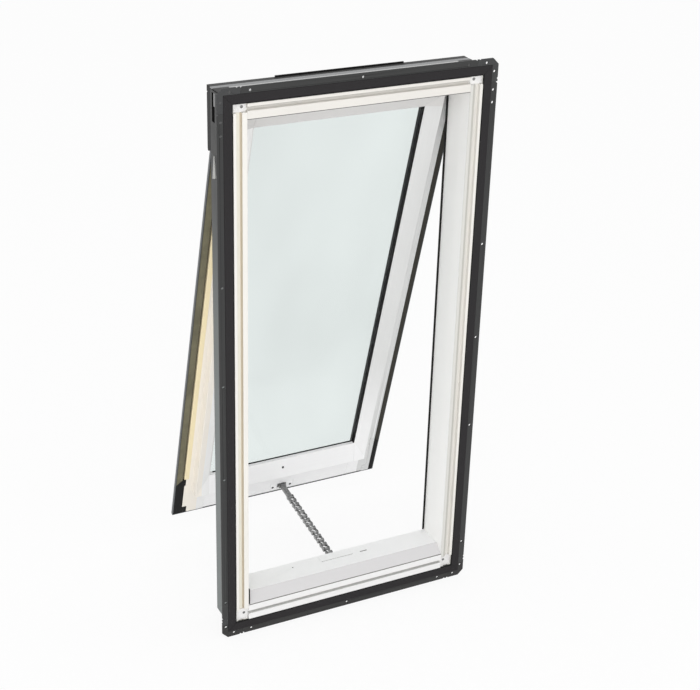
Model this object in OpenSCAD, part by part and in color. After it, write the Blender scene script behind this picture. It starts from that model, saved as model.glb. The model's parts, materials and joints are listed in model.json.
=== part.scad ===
// Top-hung roof skylight, seen upright from the room.
// X runs to the right, Y out to the weather and Z up the slope.
// The origin is the middle of the mounting flange, on the face that lies on the roof deck.

/* [Overall] */
// Width across the mounting flange
flange_w = 576; // [520:1:760]
// Height across the mounting flange
flange_h = 1175; // [900:1:1400]
// Angle of the sash with the chain run right out
open_angle = 15.9; // [8:0.1:18]

/* [Flange] */
// Width of the flange from its outer edge to the timber
flange_band = 32; // [30:0.5:36]
// Thickness of the flange
flange_t = 3; // [2:0.5:4]
// Width of the flat nailing lip
lip_w = 13; // [12:0.5:15]
// Depth of the channel for the deck seal
seal_channel = 1.4; // [0.8:0.1:1.6]
// Leg length of the moulded corner pieces
corner_leg = 46; // [40:1:60]
// Cut across each outer corner
corner_cut = 12; // [6:1:16]
// Diameter of the nail holes
nail_d = 5; // [3:0.1:6]
// Nail holes from the flange edge
nail_edge = 8; // [5:0.5:8]
// Outer side nail holes from the flange end
nail_end = 87; // [70:1:110]
// Upper side nail holes from the flange end
nail_upper = 62; // [54:1:66]
// Side nail holes from the middle
nail_pitch = 207; // [150:1:260]
// Head and sill nail holes from the flange end
nail_cross = 65; // [56:1:90]
// Corner nail holes from the flange end
nail_corner = 26; // [20:1:34]

/* [Frame timber] */
// Front width of the jambs
jamb_w = 27; // [24:0.5:34]
// Front width of the head
head_w = 30; // [27:0.5:44]
// Front width of the sill
sill_w = 35.5; // [30:0.5:44]
// Rise of the sill from its front edge to its top
sill_rise = 20; // [10:1:26]
// Depth of the sloped front of the sill
sill_slope = 20; // [10:1:26]
// Depth of the timber from the deck
frame_d = 77; // [70:1:90]
// How far the timber stands into the room
timber_proud = 1; // [0.5:0.1:2]
// Lining groove of jambs and head from the timber edge
groove_in = 6; // [5:0.5:9]
// Width of the lining groove in the jambs
groove_w = 11; // [8:0.5:12]
// Width of the lining groove in the head
groove_w_head = 7.5; // [6:0.5:10]
// Lining groove of the sill from the timber edge
groove_in_sill = 13.5; // [10:0.5:15]
// Width of the lining groove in the sill
groove_w_sill = 7.5; // [6:0.5:9]
// Depth of the lining grooves and of the corner recesses
groove_d = 8; // [5:0.5:10]
// Height of the recesses in the upper corners
recess_head = 16; // [12:0.5:22]
// Height of the recesses in the lower corners
recess_sill = 27; // [20:0.5:32]
// Width of the seam under the slope of the sill
seam_w = 1.2; // [0.8:0.1:2]
// Depth of the seam under the slope of the sill
seam_d = 3; // [2:0.5:5]
// Taper of the jamb and head reveals
reveal_taper = 1.6; // [0.5:0.1:3]
// Depth of the tapered part of the reveals
reveal_d = 28; // [20:1:40]
// Thickness of the lining clips
lining_clip_t = 2.2; // [1.6:0.1:3]
// Screws of the lining clips from the reveal
clip_screw_in = 9; // [7:0.5:14]
// Screws of the upper lining clips from the head edge
clip_screw_head = 6; // [5:0.5:9]
// Screws of the lower lining clips from the sill edge
clip_screw_sill = 16; // [10:0.5:20]
// Lip of the frame seal into the opening
seal_lip = 4; // [2:0.5:6]

/* [Frame covers] */
// Covers from the flange edge
cover_inset = 20; // [18:0.5:22]
// Sheet thickness of the covers
cover_t = 2; // [1.5:0.1:2.5]
// Width of the turned-in cover edge
cover_return = 11.5; // [9:0.5:12]
// Length of the cheeks beside the hinges
cheek_l = 124; // [90:1:160]
// Height of the cheeks above the covers
cheek_rise = 16; // [12:0.5:24]
// Top of the cheek window below the cheek end
plug_drop = 62; // [40:1:80]
// Width of the window in the side covers
plug_w = 13; // [8:0.5:16]
// Window in the side covers from the timber face
plug_in = 6; // [4:0.5:10]
// Length of the flashing clips
clip_l = 46; // [30:1:60]
// Width of the flashing clips at their wide end
clip_w = 14; // [10:0.5:18]
// Flashing clips from the timber face
clip_in = 10; // [6:0.5:14]
// Width of the turned-in edge of the sill cover
sill_return = 14; // [12:0.5:15]
// Gap between timber top and head cover
head_gap = 1.2; // [1:0.1:3]
// Depth of the rain lip on the head cover
rain_lip = 12; // [8:0.5:13]
// Half length of the raised part of the rain lip
lip_raise_x = 134; // [90:1:160]
// Height of the raised part of the rain lip
lip_raise = 2.5; // [1:0.5:4]

/* [Sash] */
// Sash edge from the flange edge at the sides
sash_inset = 33; // [32.5:0.1:36]
// Sash edge from the flange edge at the sill
sash_inset_sill = 30; // [28:0.5:32]
// Sash edge from the flange edge at the head
sash_inset_head = 31.5; // [30:0.5:35]
// Clear space between sash and frame when shut
sash_clear = 3; // [2.8:0.1:4]
// Thickness of the sash lip
lip_t = 7; // [6.5:0.5:9]
// Depth of the sash timber inside the frame
nest_d = 23; // [16:1:26]
// Rise of the sloped inner face of the sash
bevel_rise = 12; // [8:0.5:14]
// Gap between jamb and sash timber
nest_gap = 13; // [10:0.5:16]
// Gap between sill and sash timber
nest_gap_sill = 11; // [9:0.5:14]
// Gap between head and sash timber
nest_gap_head = 12.5; // [6:0.5:14]
// Width of the inner face of stiles and head rail
nest_w = 33; // [28:0.5:40]
// Width of the inner face of the bottom rail
nest_w_sill = 49; // [40:0.5:60]
// Width of the weather strip along the sash edge
strip_w = 14; // [9:0.1:15]
// Shadow gap between weather strip and timber
strip_gap = 4; // [2:0.5:5]
// Leg length of the sash end pieces
end_leg = 106; // [60:1:120]
// Width of the foot of the sash end pieces
end_foot = 32; // [24:1:36]
// Height of the foot of the sash end pieces
end_foot_h = 17.7; // [14:0.1:24]
// Slope across the top of the sash end pieces
end_slant = 13; // [4:0.5:16]
// Width of the nose at the top of the sash end pieces
end_nose = 3; // [2:0.5:5]
// Length of the nose at the top of the sash end pieces
end_nose_l = 20; // [12:1:30]

/* [Glazing] */
// Thickness of each pane
pane_t = 3; // [2.5:0.1:4]
// Air space between the panes
pane_gap = 10; // [8:0.5:10]
// Thickness of the glazing seal
glaze_seal_t = 2; // [1.5:0.1:3]
// How far the panes reach behind the timber
glass_bite = 14; // [10:0.5:18]
// How far the panes reach behind the bottom rail
glass_bite_sill = 27; // [20:0.5:30]
// Width of the spacer bar
spacer_w = 9; // [6:0.5:12]
// Overlap of the cladding on the glass
clad_lap = 6; // [4:0.5:9]
// Thickness of the outer glazing seal at the pane edge
out_seal_t = 0.5; // [0.4:0.1:1.5]

/* [Hinge] */
// Hinge axis from the flange edge
hinge_drop = 46.5; // [46:0.5:47.5]
// Hinge axis above the frame timber
hinge_rise = 5; // [4.8:0.1:5.2]
// Hinges from the middle
hinge_x = 190; // [120:1:200]
// Width of each hinge
hinge_w = 60; // [44:1:70]
// Radius of the hinge knuckles
knuckle_r = 4.5; // [4:0.1:4.6]
// Radius of the hinge pins
pin_r = 2; // [1.5:0.1:2.4]
// Running clearance of the hinge pins
pin_clear = 0.05; // [0.03:0.01:0.08]
// Thickness of the hinge leaves
leaf_t = 2.2; // [1.5:0.1:2.4]

/* [Chain operator] */
// Chain from the middle of the frame
chain_x = 13.5; // [-20:0.5:20]
// Chain outlet below the sill top
outlet_drop = 38.5; // [35:0.5:40]
// Chain outlet behind the face of the sill timber
outlet_in = 17; // [16:0.5:20]
// Bracket pin in front of the sash
bracket_drop = 4; // [3.5:0.5:8]
// Number of chain links, inner and outer by turns
link_n = 18; // [14:2:20]
// Height of the link plates at the pins
plate_h = 11; // [9:0.5:12]
// Height of the link plates between the pins
waist_h = 6.6; // [6:0.2:9]
// Thickness of the link plates
link_t = 2; // [1.5:0.1:2.4]
// Width between the inner plates
bush_w = 6.4; // [4:0.2:7]
// Radius of the bushes
bush_r = 3.6; // [3:0.1:4]
// Radius of the link pins
link_pin_r = 1.9; // [1.5:0.1:2.2]
// Clearance between links
link_clear = 0.35; // [0.3:0.05:0.5]
// Length of the plain bar at the sash end
bar_l = 46; // [30:1:60]
// Height of the plain bar at the sash end
bar_h = 8.8; // [7:0.2:10]
// Width of the bracket cover plate
bracket_w = 56; // [52:1:66]
// Height of the bracket cover plate
bracket_h = 22; // [20:0.5:23]
// Thickness of the bracket cover plate
bracket_t = 2; // [1.5:0.1:2.2]
// Width of the window in the bracket cover plate
window_w = 23; // [20:0.5:28]
// Height of the window in the bracket cover plate
window_h = 13; // [12.5:0.5:15]
// Middle of the window below the bracket pin
window_drop = 1.5; // [1:0.1:1.8]
// Thickness of the bracket base
base_t = 2; // [1.5:0.1:2.2]
// Thickness of the bracket ears
ear_t = 2.6; // [2:0.1:3]
// Bracket screws from the chain
bracket_screw_x = 22; // [20:0.5:24]
// Bracket screws below the bracket pin
bracket_screw_drop = 5; // [3:0.5:6]
// Width of the operator case
case_w = 190; // [140:1:240]
// Depth of the operator case
case_d = 46; // [40:1:52]
// Height of the operator case
case_h = 42; // [38:1:44]
// Rim of the chain guide
guide_rim = 3; // [2:0.2:3]
// Height of the chain guide over the timber
guide_t = 2; // [1:0.1:2.2]
// Middle of the cover plate in the sill
plate_x = 1.5; // [-10:0.5:10]
// Width of the cover plate in the sill
plate_w = 75; // [60:1:120]
// Depth of the cover plate in the sill
plate_d = 23; // [16:1:26]
// Thickness of the cover plate in the sill
plate_t = 2.6; // [2:0.1:3]
// Slot in the sill top beside the cover plate
slot_gap = 18; // [10:1:30]
// Length of the slot in the sill top
slot_l = 16; // [10:1:24]
// Hole in the sill top beside the cover plate
dot_gap = 66; // [50:1:80]
// Radius of the screw hole in the bottom rail
rail_hole_r = 1.9; // [1.5:0.1:2.5]

/* [Hidden] */
$fn = 48;
// shared fits
gap = 0.3;
rub = 0.3;
bulb_w = 6;
seal_over = 8;
strip_t = 4;
// cuts and notches
clip_cut = 3;
strip_notch = 5;
corner_notch = 3;
slot_w = 2.4;
slot_d = 3;
dot_in = 6;
dot_r = 1.6;
rail_hole_d = 8;
rail_screw_in = 3;
// screws of the side covers, as shares of the half height
cover_screw_at = [-0.8, -0.3, 0.3, 0.75];
// timber over the panes before the cladding trims it
timber_over = 40;
half_w = flange_w / 2;
half_h = flange_h / 2;
front_y = -timber_proud;
recess_y = front_y + groove_d;
out_e = cover_inset + cover_t + gap;
jamb_e = flange_band + jamb_w;
head_e = flange_band + head_w;
sill_front_e = flange_band + sill_w;
sill_e = sill_front_e + sill_rise;
seat_y = frame_d + sash_clear;
lip_y = seat_y + lip_t;
cover_y = frame_d + gap + cover_t;
// sash edges from the flange edge
nest_e = jamb_e + reveal_taper + nest_gap;
nest_e_sill = sill_e + nest_gap_sill;
nest_e_head = head_e + nest_gap_head;
glass_e = nest_e + nest_w;
glass_e_sill = nest_e_sill + nest_w_sill;
glass_e_head = nest_e_head + nest_w;
nest_y = seat_y - nest_d;
bevel_y = nest_y + bevel_rise;
// narrow flat along the slopes of the sash timber, and these slopes for each millimetre of depth
nest_flat = 0.8;
slope_side = (nest_w - nest_flat) / bevel_rise;
slope_sill = (nest_w_sill - nest_flat) / bevel_rise;
pane_y = seat_y - 1;
glaze_y = pane_y - glaze_seal_t;
pane2_y = pane_y + pane_t + pane_gap;
pane_top = pane2_y + pane_t;
edge_e = glass_e - glass_bite;
edge_e_sill = glass_e_sill - glass_bite_sill;
edge_e_head = glass_e_head - glass_bite;
clad_e = edge_e + clad_lap;
clad_e_sill = edge_e_sill + clad_lap;
clad_e_head = edge_e_head + clad_lap;
strip_e = sash_inset + cover_t + strip_w;
stile_e = strip_e + strip_gap;
end_e = stile_e + 1.5;
hinge_y = frame_d + hinge_rise;
hinge_z = half_h - hinge_drop;
rail_top = hinge_z - knuckle_r - leaf_t;
hinge_screw_z = hinge_z + knuckle_r + 9;
// head cover
hood_e = out_e - head_gap - cover_t;
hood_y = cover_y + cheek_rise;
cheek_z = half_h - hood_e - cheek_l;
// chain outlet and the bracket pin at rest
out_y = frame_d - outlet_in;
out_z = -half_h + sill_e - outlet_drop;
arm_y = seat_y - bracket_drop - hinge_y;
arm_z = out_z - hinge_z;
pin_rest_y = hinge_y + arm_y * cos(open_angle) - arm_z * sin(open_angle);
pin_rest_z = hinge_z + arm_y * sin(open_angle) + arm_z * cos(open_angle);
chain_l = sqrt(pow(pin_rest_y - out_y, 2) + pow(pin_rest_z - out_z, 2));
chain_a = atan2(pin_rest_z - out_z, pin_rest_y - out_y);
link_p = (chain_l - bar_l) / link_n;
bore_r = link_pin_r + link_clear;
bar_w = bush_w + 2 * link_t;
outer_x = bar_w / 2 + link_clear;
link_w = 2 * (outer_x + link_t);
ear_r = bar_h / 2 + 0.2;
case_z = out_z + 2;
mouth_w = link_w + 6;
mouth_h = plate_h + 9;
outlet_half = mouth_w / 2 + 5;
bracket_y = seat_y - bracket_drop;
window_z = out_z - window_drop;
screw_r = 1.5;
bracket_screw_l = 4.6;
base_w = window_w + 4;
base_h = window_h + 5;
// screw hole half way up the sloped face of the bottom rail
rail_hole_z = -half_h + nest_e_sill + 0.56 * nest_w_sill;
rail_hole_y = nest_y + 0.56 * bevel_rise;
// windows in the side covers
plug_z0 = cheek_z + plug_drop;
plug_z1 = half_h - out_e - 4;
// lower edge and outer side of the sash end pieces
end_z = -half_h + sash_inset_sill + cover_t + gap;
end_x = half_w - sash_inset - cover_t - gap;

function px(e) = half_w - e;
function pz(e) = half_h - e;
// height of the cladding at a distance e from the flange edge, between its lip e0 and the pane edge e1
function clad_at(e, e0, e1) = lip_y + (pane_top + out_seal_t + cover_t - lip_y) * (e - e0) / (e1 - e0);
// underside of the cladding over the timber
function roof_at(e, e0, e1) = clad_at(e, e0, e1) - cover_t - gap;
// hip lines of the cladding, from the sash corners over the pane corners
function hip_sill(ex) = sash_inset_sill + (ex - sash_inset) *
    (edge_e_sill - sash_inset_sill) / (edge_e - sash_inset);
function hip_head(ex) = sash_inset_head + (ex - sash_inset) *
    (edge_e_head - sash_inset_head) / (edge_e - sash_inset);
function hip_side(ez, e0, e1) = sash_inset + (ez - e0) * (edge_e - sash_inset) / (e1 - e0);

// profiles in X and Y run along Z
module along_z(z0, z1) {
    translate([0, 0, z0])
        linear_extrude(height = z1 - z0)
            children();
}

// profiles in Y and Z run along X
module along_x(x0, x1) {
    translate([x0, 0, 0])
        rotate([90, 0, 90])
            linear_extrude(height = x1 - x0)
                children();
}

// outlines in X and Z rise along Y
module along_y(y0, y1) {
    translate([0, y1, 0])
        rotate([90, 0, 0])
            linear_extrude(height = y1 - y0)
                children();
}

// bar with square ends
module bar(x0, x1, y0, y1, z0, z1) {
    translate([x0, y0, z0])
        cube([x1 - x0, y1 - y0, z1 - z0]);
}

// round hole or pin across the flange
module pin_y(x, z, y0, y1, r) {
    translate([x, y0, z])
        rotate([-90, 0, 0])
            cylinder(h = y1 - y0, r = r);
}

// round hole or pin along the hinge axis
module pin_x(x0, x1, y, z, r) {
    translate([x0, y, z])
        rotate([0, 90, 0])
            cylinder(h = x1 - x0, r = r);
}

module flip_x() {
    mirror([1, 0, 0])
        children();
}

module both_x() {
    children();
    flip_x()
        children();
}

module both_z() {
    children();
    mirror([0, 0, 1])
        children();
}

// parts of the sash are drawn shut and swung out to the open angle
module swung() {
    translate([0, hinge_y, hinge_z])
        rotate([open_angle, 0, 0])
            translate([0, -hinge_y, -hinge_z])
                children();
}

// countersunk screw with a cross recess, head up along -Y
module screw_y(x, z, y, r, l) {
    translate([x, y, z])
        rotate([-90, 0, 0])
            difference() {
                union() {
                    cylinder(h = r, r1 = 2 * r, r2 = r);
                    cylinder(h = l, r = r);
                }
                translate([-1.3 * r, -0.2 * r, -1])
                    cube([2.6 * r, 0.4 * r, 1 + 0.5 * r]);
                translate([-0.2 * r, -1.3 * r, -1])
                    cube([0.4 * r, 2.6 * r, 1 + 0.5 * r]);
            }
}

// hole for a countersunk screw
module sink_y(x, z, y, r, l) {
    translate([x, y, z])
        rotate([-90, 0, 0])
            union() {
                cylinder(h = r + gap, r1 = 2 * r + gap, r2 = r);
                translate([0, 0, -1])
                    cylinder(h = 1, r = 2 * r + gap);
                cylinder(h = l + gap, r = r + 0.05);
            }
}

// flange strip: flat nailing lip, then the channel of the deck seal
module strip_profile() {
    polygon([[0, 0], [lip_w, 0], [lip_w, seal_channel], [flange_band - gap, seal_channel],
             [flange_band - gap, flange_t], [0, flange_t]]);
}

module side_strip() {
    difference() {
        along_z(-half_h + corner_leg + gap, half_h - corner_leg - gap)
            translate([half_w, 0])
                mirror([1, 0])
                    strip_profile();
        for (z = [-nail_pitch, 0, nail_pitch])
            pin_y(px(nail_edge), z, -1, flange_t + 1, nail_d / 2);
        for (s = [-1, 1])
            pin_y(px(nail_edge), s * (half_h - nail_end), -1, flange_t + 1, nail_d / 2);
        pin_y(px(nail_edge), pz(nail_upper), -1, flange_t + 1, nail_d / 2);
        both_z()
            translate([half_w, 0, half_h - corner_leg - gap])
                rotate([0, 45, 0])
                    cube([strip_notch, 4 * flange_t, strip_notch], center = true);
    }
}

module flange_left() {
    color([0.14, 0.14, 0.15])
        flip_x()
            side_strip();
}

module flange_right() {
    color([0.14, 0.14, 0.15])
        side_strip();
}

module cross_strip() {
    difference() {
        along_x(-half_w + corner_leg + gap, half_w - corner_leg - gap)
            translate([0, half_h])
                rotate(-90)
                    strip_profile();
        for (x = [-px(nail_cross), 0, px(nail_cross)])
            pin_y(x, pz(nail_edge), -1, flange_t + 1, nail_d / 2);
        both_x()
            translate([half_w - corner_leg - gap, 0, half_h])
                rotate([0, 45, 0])
                    cube([strip_notch, 4 * flange_t, strip_notch], center = true);
    }
}

module flange_head() {
    color([0.14, 0.14, 0.15])
        cross_strip();
}

module flange_sill() {
    color([0.14, 0.14, 0.15])
        mirror([0, 0, 1])
            cross_strip();
}

module corner_outline(e0) {
    polygon([[px(e0), pz(corner_leg)], [px(e0), pz(corner_cut + 0.4 * e0)],
             [px(corner_cut + 0.4 * e0), pz(e0)], [px(corner_leg), pz(e0)],
             [px(corner_leg), pz(flange_band - gap)], [px(flange_band - gap), pz(flange_band - gap)],
             [px(flange_band - gap), pz(corner_leg)]]);
}

// moulded corner with a hole in each leg
module corner_piece() {
    difference() {
        along_y(0, flange_t)
            corner_outline(0);
        along_y(-1, seal_channel)
            polygon([[px(lip_w), pz(corner_leg + 1)], [px(lip_w), pz(lip_w)],
                     [px(corner_leg + 1), pz(lip_w)], [px(corner_leg + 1), pz(flange_band)],
                     [px(flange_band), pz(flange_band)], [px(flange_band), pz(corner_leg + 1)]]);
        pin_y(px(nail_edge), pz(nail_corner), -1, flange_t + 1, nail_d / 2);
        pin_y(px(nail_corner), pz(nail_edge), -1, flange_t + 1, nail_d / 2);
        for (k = [0, 1])
            translate([k == 0 ? half_w : half_w - corner_leg + 2 * corner_notch, 0,
                k == 0 ? half_h - corner_leg + 2 * corner_notch : half_h])
                rotate([0, 45, 0])
                    cube([corner_notch, 4 * flange_t, corner_notch], center = true);
    }
}

module flange_corners() {
    color([0.12, 0.12, 0.13])
        both_x()
            both_z()
                corner_piece();
}

// foam strips in the flange channel, mitred at the corners
module seal_arm(w, h) {
    polygon([[-w + lip_w + 2 * gap, h - lip_w - gap], [w - lip_w - 2 * gap, h - lip_w - gap],
             [w - flange_band + gap, h - flange_band + 2 * gap],
             [-w + flange_band - gap, h - flange_band + 2 * gap]]);
}

module deck_seal() {
    color([0.05, 0.05, 0.055]) {
        both_z()
            along_y(-gap, seal_channel)
                seal_arm(half_w, half_h);
        both_x()
            along_y(-gap, seal_channel)
                rotate(-90)
                    seal_arm(half_h, half_w);
    }
}

// jamb section: rebated over the flange, tapered reveal towards the room
module jamb_profile() {
    difference() {
        polygon([[px(flange_band), front_y], [px(jamb_e), front_y],
                 [px(jamb_e + reveal_taper), reveal_d], [px(jamb_e + reveal_taper), frame_d],
                 [px(out_e), frame_d], [px(out_e), flange_t + gap], [px(flange_band), flange_t + gap]]);
        translate([px(flange_band + groove_in + groove_w), front_y - 1])
            square([groove_w, groove_d + 1]);
    }
}

// plan of the opening between the jambs
module clear_plan() {
    polygon([[-px(jamb_e), front_y - 1], [px(jamb_e), front_y - 1], [px(jamb_e), front_y],
             [px(jamb_e + reveal_taper), reveal_d], [px(jamb_e + reveal_taper), frame_d + 1],
             [-px(jamb_e + reveal_taper), frame_d + 1], [-px(jamb_e + reveal_taper), reveal_d],
             [-px(jamb_e), front_y]]);
}

// jamb cut back at its ends for the flange, and in the corners for the lining clips
module jamb() {
    difference() {
        along_z(-pz(out_e), pz(out_e))
            jamb_profile();
        both_z()
            bar(px(nest_e), half_w, front_y - 1, flange_t + gap, pz(flange_band), half_h);
        bar(px(nest_e), px(flange_band), front_y - 1, recess_y, pz(flange_band + recess_head),
            pz(flange_band));
        bar(px(nest_e), px(flange_band), front_y - 1, recess_y, -pz(flange_band),
            -pz(flange_band + recess_sill));
    }
}

module frame_jamb_left() {
    color([0.93, 0.92, 0.88])
        flip_x()
            jamb();
}

module frame_jamb_right() {
    color([0.93, 0.92, 0.88])
        jamb();
}

// head section inside its lining groove
module head_profile() {
    e = flange_band + groove_in + groove_w_head;
    polygon([[front_y, pz(e)], [recess_y, pz(e)], [recess_y, pz(out_e)], [frame_d, pz(out_e)],
             [frame_d, pz(head_e + reveal_taper)], [reveal_d, pz(head_e + reveal_taper)],
             [front_y, pz(head_e)]]);
}

// strip outside a lining groove, lapped over the flange
module bead_profile(w) {
    polygon([[front_y, pz(flange_band + w)], [front_y, pz(flange_band)], [flange_t + gap, pz(flange_band)],
             [flange_t + gap, pz(out_e)], [recess_y, pz(out_e)], [recess_y, pz(flange_band + w)]]);
}

module bead(w) {
    intersection() {
        along_x(-half_w, half_w)
            bead_profile(w);
        along_z(0, half_h)
            clear_plan();
    }
}

module head_bead() {
    color([0.93, 0.92, 0.88])
        bead(groove_in);
}

module sill_bead() {
    color([0.93, 0.92, 0.88])
        mirror([0, 0, 1])
            bead(groove_in_sill);
}

module frame_head() {
    color([0.93, 0.92, 0.88])
        intersection() {
            along_x(-half_w, half_w)
                head_profile();
            along_z(0, half_h)
                clear_plan();
        }
}

// sill section inside its lining groove
module sill_profile() {
    e = flange_band + groove_in_sill + groove_w_sill;
    difference() {
        polygon([[front_y, -pz(e)], [front_y, -pz(sill_front_e)], [sill_slope, -pz(sill_e)],
                 [frame_d, -pz(sill_e)], [frame_d, -pz(out_e)], [recess_y, -pz(out_e)], [recess_y, -pz(e)]]);
        translate([front_y - 1, -pz(sill_front_e) - seam_w / 2])
            square([seam_d + 1, seam_w]);
    }
}

// sill with the operator pocket from behind and the seat of the cover plate
module frame_sill() {
    color([0.93, 0.92, 0.88])
        difference() {
            intersection() {
                along_x(-half_w, half_w)
                    sill_profile();
                along_z(-half_h, 0)
                    clear_plan();
            }
            bar(chain_x - case_w / 2 - gap, chain_x + case_w / 2 + gap, frame_d - case_d - gap,
                frame_d + 1, case_z - case_h / 2 - gap, case_z + case_h / 2 + gap);
            bar(plate_x - plate_w / 2 - gap, plate_x + plate_w / 2 + gap, frame_d - plate_d - gap,
                frame_d + 1, -pz(sill_e) - plate_t, -pz(sill_e) + 1);
            translate([plate_x + plate_w / 2 + slot_gap, 0, 0])
                bar(0, slot_l, frame_d - plate_d, frame_d - plate_d + slot_w, -pz(sill_e) - slot_d,
                    -pz(sill_e) + 1);
            translate([plate_x - plate_w / 2 - dot_gap, frame_d - plate_d + dot_in, -pz(sill_e) - slot_d])
                cylinder(h = slot_d + 1, r = dot_r);
        }
}

// clip for the room lining in a corner recess
module clip_plate(rise, screw_in) {
    difference() {
        along_y(recess_y - lining_clip_t, recess_y)
            polygon([[px(flange_band + gap), pz(flange_band + gap)],
                     [px(jamb_e - gap), pz(flange_band + gap)],
                     [px(jamb_e - gap), pz(flange_band + rise - clip_cut)],
                     [px(jamb_e - clip_cut), pz(flange_band + rise - gap)],
                     [px(flange_band + gap), pz(flange_band + rise - gap)]]);
        sink_y(px(jamb_e - clip_screw_in), pz(flange_band + screw_in), recess_y - lining_clip_t, screw_r,
               lining_clip_t + 1);
    }
}

module lining_clips() {
    color([0.9, 0.9, 0.88])
        both_x() {
            clip_plate(recess_head, clip_screw_head);
            mirror([0, 0, 1])
                clip_plate(recess_sill, clip_screw_sill);
        }
}

module clip_screw(screw_in) {
    screw_y(px(jamb_e - clip_screw_in), pz(flange_band + screw_in), recess_y - lining_clip_t, screw_r,
            lining_clip_t);
}

module lining_clip_screws() {
    color([0.35, 0.35, 0.36])
        both_x() {
            clip_screw(clip_screw_head);
            mirror([0, 0, 1])
                clip_screw(clip_screw_sill);
        }
}

// outer wall and turned-in edge of a cover
module cover_profile(ret) {
    polygon([[cover_inset, flange_t + gap], [cover_inset + cover_t, flange_t + gap],
             [cover_inset + cover_t, frame_d + gap], [cover_inset + ret, frame_d + gap],
             [cover_inset + ret, cover_y], [cover_inset, cover_y]]);
}

module side_cover() {
    difference() {
        along_z(-pz(cover_inset), pz(out_e))
            translate([half_w, 0])
                mirror([1, 0])
                    cover_profile(cover_return);
        bar(px(cover_inset + cover_t) - 1, half_w, frame_d - plug_in - plug_w, frame_d - plug_in,
            plug_z0, plug_z1);
        for (z = cover_screw_at)
            translate([px(cover_inset) + 1, frame_d / 2, z * half_h])
                rotate([0, -90, 0])
                    cylinder(h = 4 + cover_t, r = 1.6);
    }
}

module side_cover_left() {
    color([0.42, 0.42, 0.42])
        flip_x()
            side_cover();
}

module side_cover_right() {
    color([0.42, 0.42, 0.42])
        side_cover();
}

module sill_cover() {
    color([0.42, 0.42, 0.42]) {
        along_x(-px(out_e), px(out_e))
            polygon([[flange_t + gap, -pz(cover_inset)], [flange_t + gap, -pz(cover_inset + cover_t)],
                     [frame_d, -pz(cover_inset + cover_t)], [frame_d, -pz(cover_inset)]]);
        along_x(-px(cover_inset + cover_return + gap), px(cover_inset + cover_return + gap))
            polygon([[frame_d - 1, -pz(cover_inset)], [frame_d - 1, -pz(cover_inset + cover_t)],
                     [frame_d + gap, -pz(cover_inset + cover_t)],
                     [frame_d + gap, -pz(cover_inset + sill_return)],
                     [cover_y, -pz(cover_inset + sill_return)], [cover_y, -pz(cover_inset)]]);
    }
}

// folded head cover with a rain lip, raised in its middle
module head_cover() {
    color([0.62, 0.62, 0.62]) {
        along_x(-px(cover_inset), px(cover_inset))
            polygon([[flange_t + gap, pz(hood_e)], [hood_y, pz(hood_e)],
                     [hood_y, pz(hood_e + rain_lip)], [hood_y - cover_t, pz(hood_e + rain_lip)],
                     [hood_y - cover_t, pz(hood_e + cover_t)], [frame_d - 4, pz(hood_e + cover_t)],
                     [frame_d - 4, pz(out_e - gap)], [frame_d - 6, pz(out_e - gap)],
                     [frame_d - 6, pz(hood_e + cover_t)],
                     [flange_t + gap + cover_t, pz(hood_e + cover_t)],
                     [flange_t + gap + cover_t, pz(out_e - gap)], [flange_t + gap, pz(out_e - gap)]]);
        along_x(-lip_raise_x, lip_raise_x)
            polygon([[hood_y - cover_t, pz(hood_e)], [hood_y + 1, pz(hood_e) - 5],
                     [hood_y + 1, pz(hood_e) + lip_raise], [hood_y - cover_t, pz(hood_e) + lip_raise]]);
    }
}

// cheek beside a hinge, its lower end cut back, hollow behind
module hinge_cheek() {
    difference() {
        along_x(px(cover_inset + 10.5), px(cover_inset))
            polygon([[cover_y, cheek_z + 6], [cover_y + cheek_rise - 5, cheek_z],
                     [hood_y - 2, cheek_z], [hood_y, cheek_z + 4],
                     [hood_y, pz(hood_e + cover_t + gap) - rain_lip],
                     [hood_y - cover_t - gap, pz(hood_e + cover_t + gap) - rain_lip],
                     [hood_y - cover_t - gap, pz(hood_e + cover_t + gap)],
                     [cover_y, pz(hood_e + cover_t + gap)]]);
        bar(px(cover_inset + 8.5), px(cover_inset + 2), cover_y - 1, hood_y - 6, cheek_z + 10,
            pz(hood_e + 10));
    }
}

module hinge_cheek_left() {
    color([0.36, 0.36, 0.36])
        flip_x()
            hinge_cheek();
}

module hinge_cheek_right() {
    color([0.36, 0.36, 0.36])
        hinge_cheek();
}

// tapered flashing clips on the side covers
module side_clips() {
    color([0.7, 0.7, 0.68])
        both_x()
            along_x(px(cover_inset), px(cover_inset) + 2.4)
                polygon([[frame_d - clip_in - clip_w * 0.7, cheek_z],
                         [frame_d - clip_in - clip_w / 2, cheek_z],
                         [frame_d - clip_in, cheek_z - clip_l],
                         [frame_d - clip_in - clip_w, cheek_z - 0.9 * clip_l]]);
}

// plugs in the windows of the side covers
module side_plugs() {
    color([0.05, 0.05, 0.05])
        both_x()
            bar(px(cover_inset + cover_t), px(cover_inset) - 0.4, frame_d - plug_in - plug_w + gap,
                frame_d - plug_in - gap, plug_z0 + gap, plug_z1 - gap);
}

module cover_screws() {
    color([0.4, 0.4, 0.4])
        both_x()
            for (z = cover_screw_at)
                translate([px(cover_inset) + 1.2, frame_d / 2, z * half_h])
                    rotate([0, -90, 0])
                        difference() {
                            union() {
                                cylinder(h = 1.2, r = 3);
                                cylinder(h = 1.2 + cover_t, r = 1.55);
                            }
                            translate([-2, -0.3, -1])
                                cube([4, 0.6, 1.6]);
                        }
}

// hollow bulb seals on the rim of the opening
module seal_bulb() {
    h = sash_clear - rub;
    difference() {
        union() {
            square([bulb_w, h / 2]);
            translate([bulb_w / 2, h / 2])
                circle(r = h / 2);
        }
        translate([bulb_w / 2, h / 2])
            circle(r = h / 4);
    }
}

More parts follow.
